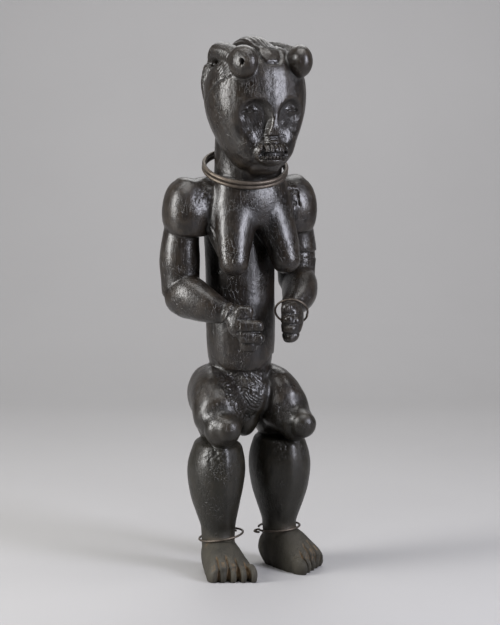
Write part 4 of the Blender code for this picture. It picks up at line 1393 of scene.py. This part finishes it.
class WoodSettings(bpy.types.PropertyGroup):
    deep: colour_setting("Deep colour", "The wood where it took most oil", (0.0030, 0.0023, 0.0020))
    brown: colour_setting("Brown streaks", "The wood between the darkest streaks", (0.0080, 0.0057, 0.0042))
    worn: colour_setting("Rubbed edges", "Wood that hands have rubbed lighter", (0.025, 0.019, 0.0135))
    legs: colour_setting("Legs", "The duller wood of the legs", (0.0062, 0.0062, 0.0022))
    grime: colour_setting("Grime", "What lies in the hollows", (0.015, 0.0125, 0.0095))
    dry: colour_setting("Dry wood", "The bare wood of the feet", (0.042, 0.037, 0.026))
    dry_dark: colour_setting("Dark dry wood", "Stains on the bare wood", (0.013, 0.0115, 0.0075))
    ochre: colour_setting("Ochre", "Dust between the toes", (0.135, 0.088, 0.045))
    gloss: bpy.props.FloatProperty(
        name="Roughness",
        description="Roughness of the oiled surface",
        default=0.30,
        min=0.05,
        max=0.9,
        subtype="FACTOR",
    )


class MetalSettings(bpy.types.PropertyGroup):
    brown: colour_setting("Browned metal", "The wire's colour after long handling", (0.095, 0.077, 0.061))
    bright: colour_setting("Bright metal", "The wire where it rubs", (0.190, 0.160, 0.130))
    dark: colour_setting("Tarnish", "The darkest places on the wire", (0.030, 0.025, 0.021))


class StageSettings(bpy.types.PropertyGroup):
    floor: colour_setting("Floor", "The pale floor and the wall behind", (0.285, 0.281, 0.281))
    distance: length_setting("Camera distance", "From the figure to the camera, on the level", 2.5, 0.5)
    camera_height: length_setting("Camera height", "Above the floor", 0.625, 0.0)
    turn: angle_setting("Camera turn", "From straight in front towards the figure's right", VIEW_TURN)
    tilt: angle_setting("Camera tilt", "How far the camera looks down", math.radians(7.12))
    lens: bpy.props.FloatProperty(
        name="Lens", description="Focal length in millimetres", default=121.248, min=20.0
    )
    left: power_setting("Left light", "The white light from the left", 45.0)
    right: power_setting("Right light", "The cool light from the right", 42.0)
    top: power_setting("Top light", "The light from above and in front", 10.0)
    back: power_setting("Back light", "The light from behind and above, out of the picture", 9.0)
    wall: power_setting("Wall light", "The light on the wall behind", 50.0)
    around: bpy.props.FloatProperty(
        name="Surrounding light", description="Strength of the world", default=0.05, min=0.0
    )


class FANG_OT_carve_figure(bpy.types.Operator):
    """Carves the figure from its volumes and gives it its oiled black wood"""

    bl_idname = "fang.carve_figure"
    bl_label = "Carve the figure"

    def execute(self, context):
        settings = context.scene.fang_figure
        figure = carve_figure(settings.grain, settings.triangles)
        grime, scratches = shared_effects()
        figure.data.materials.clear()
        figure.data.materials.append(oiled_black_wood(context.scene.fang_wood, grime, scratches))
        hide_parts("carved_figure")
        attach(figure, "root")
        return {"FINISHED"}


def shared_effects():
    """The two node groups that the wood and the metal share, built once."""
    made = []
    for name, build in (("settled_grime", settled_grime), ("fine_scratches", fine_scratches)):
        made.append(bpy.data.node_groups.get(name) or build())
    return made


class FANG_OT_bend_rings(bpy.types.Operator):
    """Bends the wire rings of the neck, the left wrist and both ankles"""

    bl_idname = "fang.bend_rings"
    bl_label = "Bend the rings"

    def execute(self, context):
        grime, scratches = shared_effects()
        metal = browned_copper_alloy(context.scene.fang_metal, grime, scratches)
        for ring in bend_rings():
            ring.data.materials.append(metal)
        return {"FINISHED"}


def soft_lamp(name, spot, target, wide, high, power, colour):
    data = bpy.data.lights.new(name, "AREA")
    data.shape = "RECTANGLE"
    data.size, data.size_y = wide, high
    data.energy = power
    data.color = colour
    lamp = bpy.data.objects.new(name, data)
    lamp.location = spot
    lamp.rotation_euler = (Vector(target) - Vector(spot)).to_track_quat("-Z", "Y").to_euler()
    bpy.context.scene.collection.objects.link(lamp)
    return lamp


def sweep(toward, right):
    """A floor that curves up into a wall behind the figure, as seen from the camera."""
    profile = [(FLOOR_FRONT, 0.0), (-BEND_START, 0.0)]
    for k in range(1, 13):
        turned = math.radians(90 * k / 12)
        rise = BEND_RADIUS * (1 - math.cos(turned))
        profile.append((-BEND_START - BEND_RADIUS * math.sin(turned), rise))
    profile.append((-BEND_START - BEND_RADIUS, WALL_TOP))
    bm = bmesh.new()
    rows = []
    for forward, level in profile:
        sides = (-FLOOR_HALF_WIDTH, FLOOR_HALF_WIDTH)
        ends = [toward * forward + right * out + Vector((0, 0, level)) for out in sides]
        rows.append([bm.verts.new(end) for end in ends])
    for lower, upper in zip(rows, rows[1:]):
        bm.faces.new((lower[0], lower[1], upper[1], upper[0])).smooth = True
    mesh = bpy.data.meshes.new("floor")
    bm.to_mesh(mesh)
    bm.free()
    floor = bpy.data.objects.new("floor", mesh)
    bpy.context.scene.collection.objects.link(floor)
    return floor


class FANG_OT_set_stage(bpy.types.Operator):
    """Lays the pale floor and sets up the soft lights and the camera"""

    bl_idname = "fang.set_stage"
    bl_label = "Set the stage"

    def execute(self, context):
        stage = context.scene.fang_stage
        a = stage.turn
        toward = Vector((math.sin(a), -math.cos(a), 0))
        right = Vector((math.cos(a), math.sin(a), 0))
        up = Vector((0, 0, 1))
        floor = sweep(toward, right)
        floor.data.materials.append(pale_floor(stage))

        middle = up * FIGURE_HEIGHT / 2
        left, right_hand = toward * 0.5 - right * 1.4 + up * 0.8, toward * 0.9 + right * 1.3 + up * 0.9
        above, behind = toward * 0.6 + up * 1.9, up * 1.6 - toward * 1.3
        wall = up * 0.9 - toward * 2.2
        white, warm, cool = (1.0, 1.0, 1.0), (1.0, 0.99, 0.98), (0.88, 0.89, 1.0)
        lights = (
            # name, place, target, width, height, power and colour
            ("left_light", left, middle, 0.55, 1.2, stage.left, warm),
            ("right_light", right_hand, middle, 0.5, 1.1, stage.right, cool),
            ("top_light", above, middle, 0.9, 0.6, stage.top, white),
            ("back_light", behind, middle, 1.2, 0.8, stage.back, white),
            ("wall_light", up * 2.4, wall, 2.4, 0.8, stage.wall, warm),
        )
        for light in lights:
            soft_lamp(*light)
        world = bpy.data.worlds.new("studio")
        world.use_nodes = True
        fill(world.node_tree.nodes["Background"], Color=(0.72, 0.72, 0.73, 1.0), Strength=stage.around)
        context.scene.world = world

        data = bpy.data.cameras.new("camera")
        data.sensor_fit = "AUTO"
        data.sensor_width = 36
        data.lens = stage.lens
        data.shift_x = 0.0016
        camera = bpy.data.objects.new("camera", data)
        camera.location = toward * stage.distance + Vector((0, PLACED[1] * STEP, stage.camera_height))
        camera.rotation_euler = (math.pi / 2 - stage.tilt, 0, a)
        context.scene.collection.objects.link(camera)
        context.scene.camera = camera
        context.scene.view_settings.view_transform = "Standard"
        return {"FINISHED"}


class FANG_PT_panel(bpy.types.Panel):
    """Lists the figure's pieces and their settings"""

    bl_idname = "FANG_PT_panel"
    bl_label = "Reliquary figure"
    bl_space_type = "VIEW_3D"
    bl_region_type = "UI"
    bl_category = "Figure"

    def draw(self, context):
        for operator, holders in STEPS_OF_WORK:
            box = self.layout.box()
            for holder in holders:
                settings = getattr(context.scene, holder)
                for name in settings.__annotations__:
                    box.prop(settings, name)
            box.operator(operator)


STEPS_OF_WORK = (
    ("fang.carve_figure", ("fang_figure", "fang_wood")),
    ("fang.bend_rings", ("fang_metal",)),
    ("fang.set_stage", ("fang_stage",)),
)
HOLDERS = {
    "fang_figure": FigureSettings,
    "fang_wood": WoodSettings,
    "fang_metal": MetalSettings,
    "fang_stage": StageSettings,
}
CLASSES = (
    *HOLDERS.values(),
    FANG_OT_carve_figure,
    FANG_OT_bend_rings,
    FANG_OT_set_stage,
    FANG_PT_panel,
)


def register():
    for made in CLASSES:
        bpy.utils.register_class(made)
    for name, settings in HOLDERS.items():
        setattr(bpy.types.Scene, name, bpy.props.PointerProperty(type=settings))


def unregister():
    for name in HOLDERS:
        delattr(bpy.types.Scene, name)
    for made in reversed(CLASSES):
        bpy.utils.unregister_class(made)


def main():
    register()
    bpy.ops.fang.carve_figure()
    bpy.ops.fang.bend_rings()
    bpy.ops.fang.set_stage()


if __name__ == "__main__":
    main()
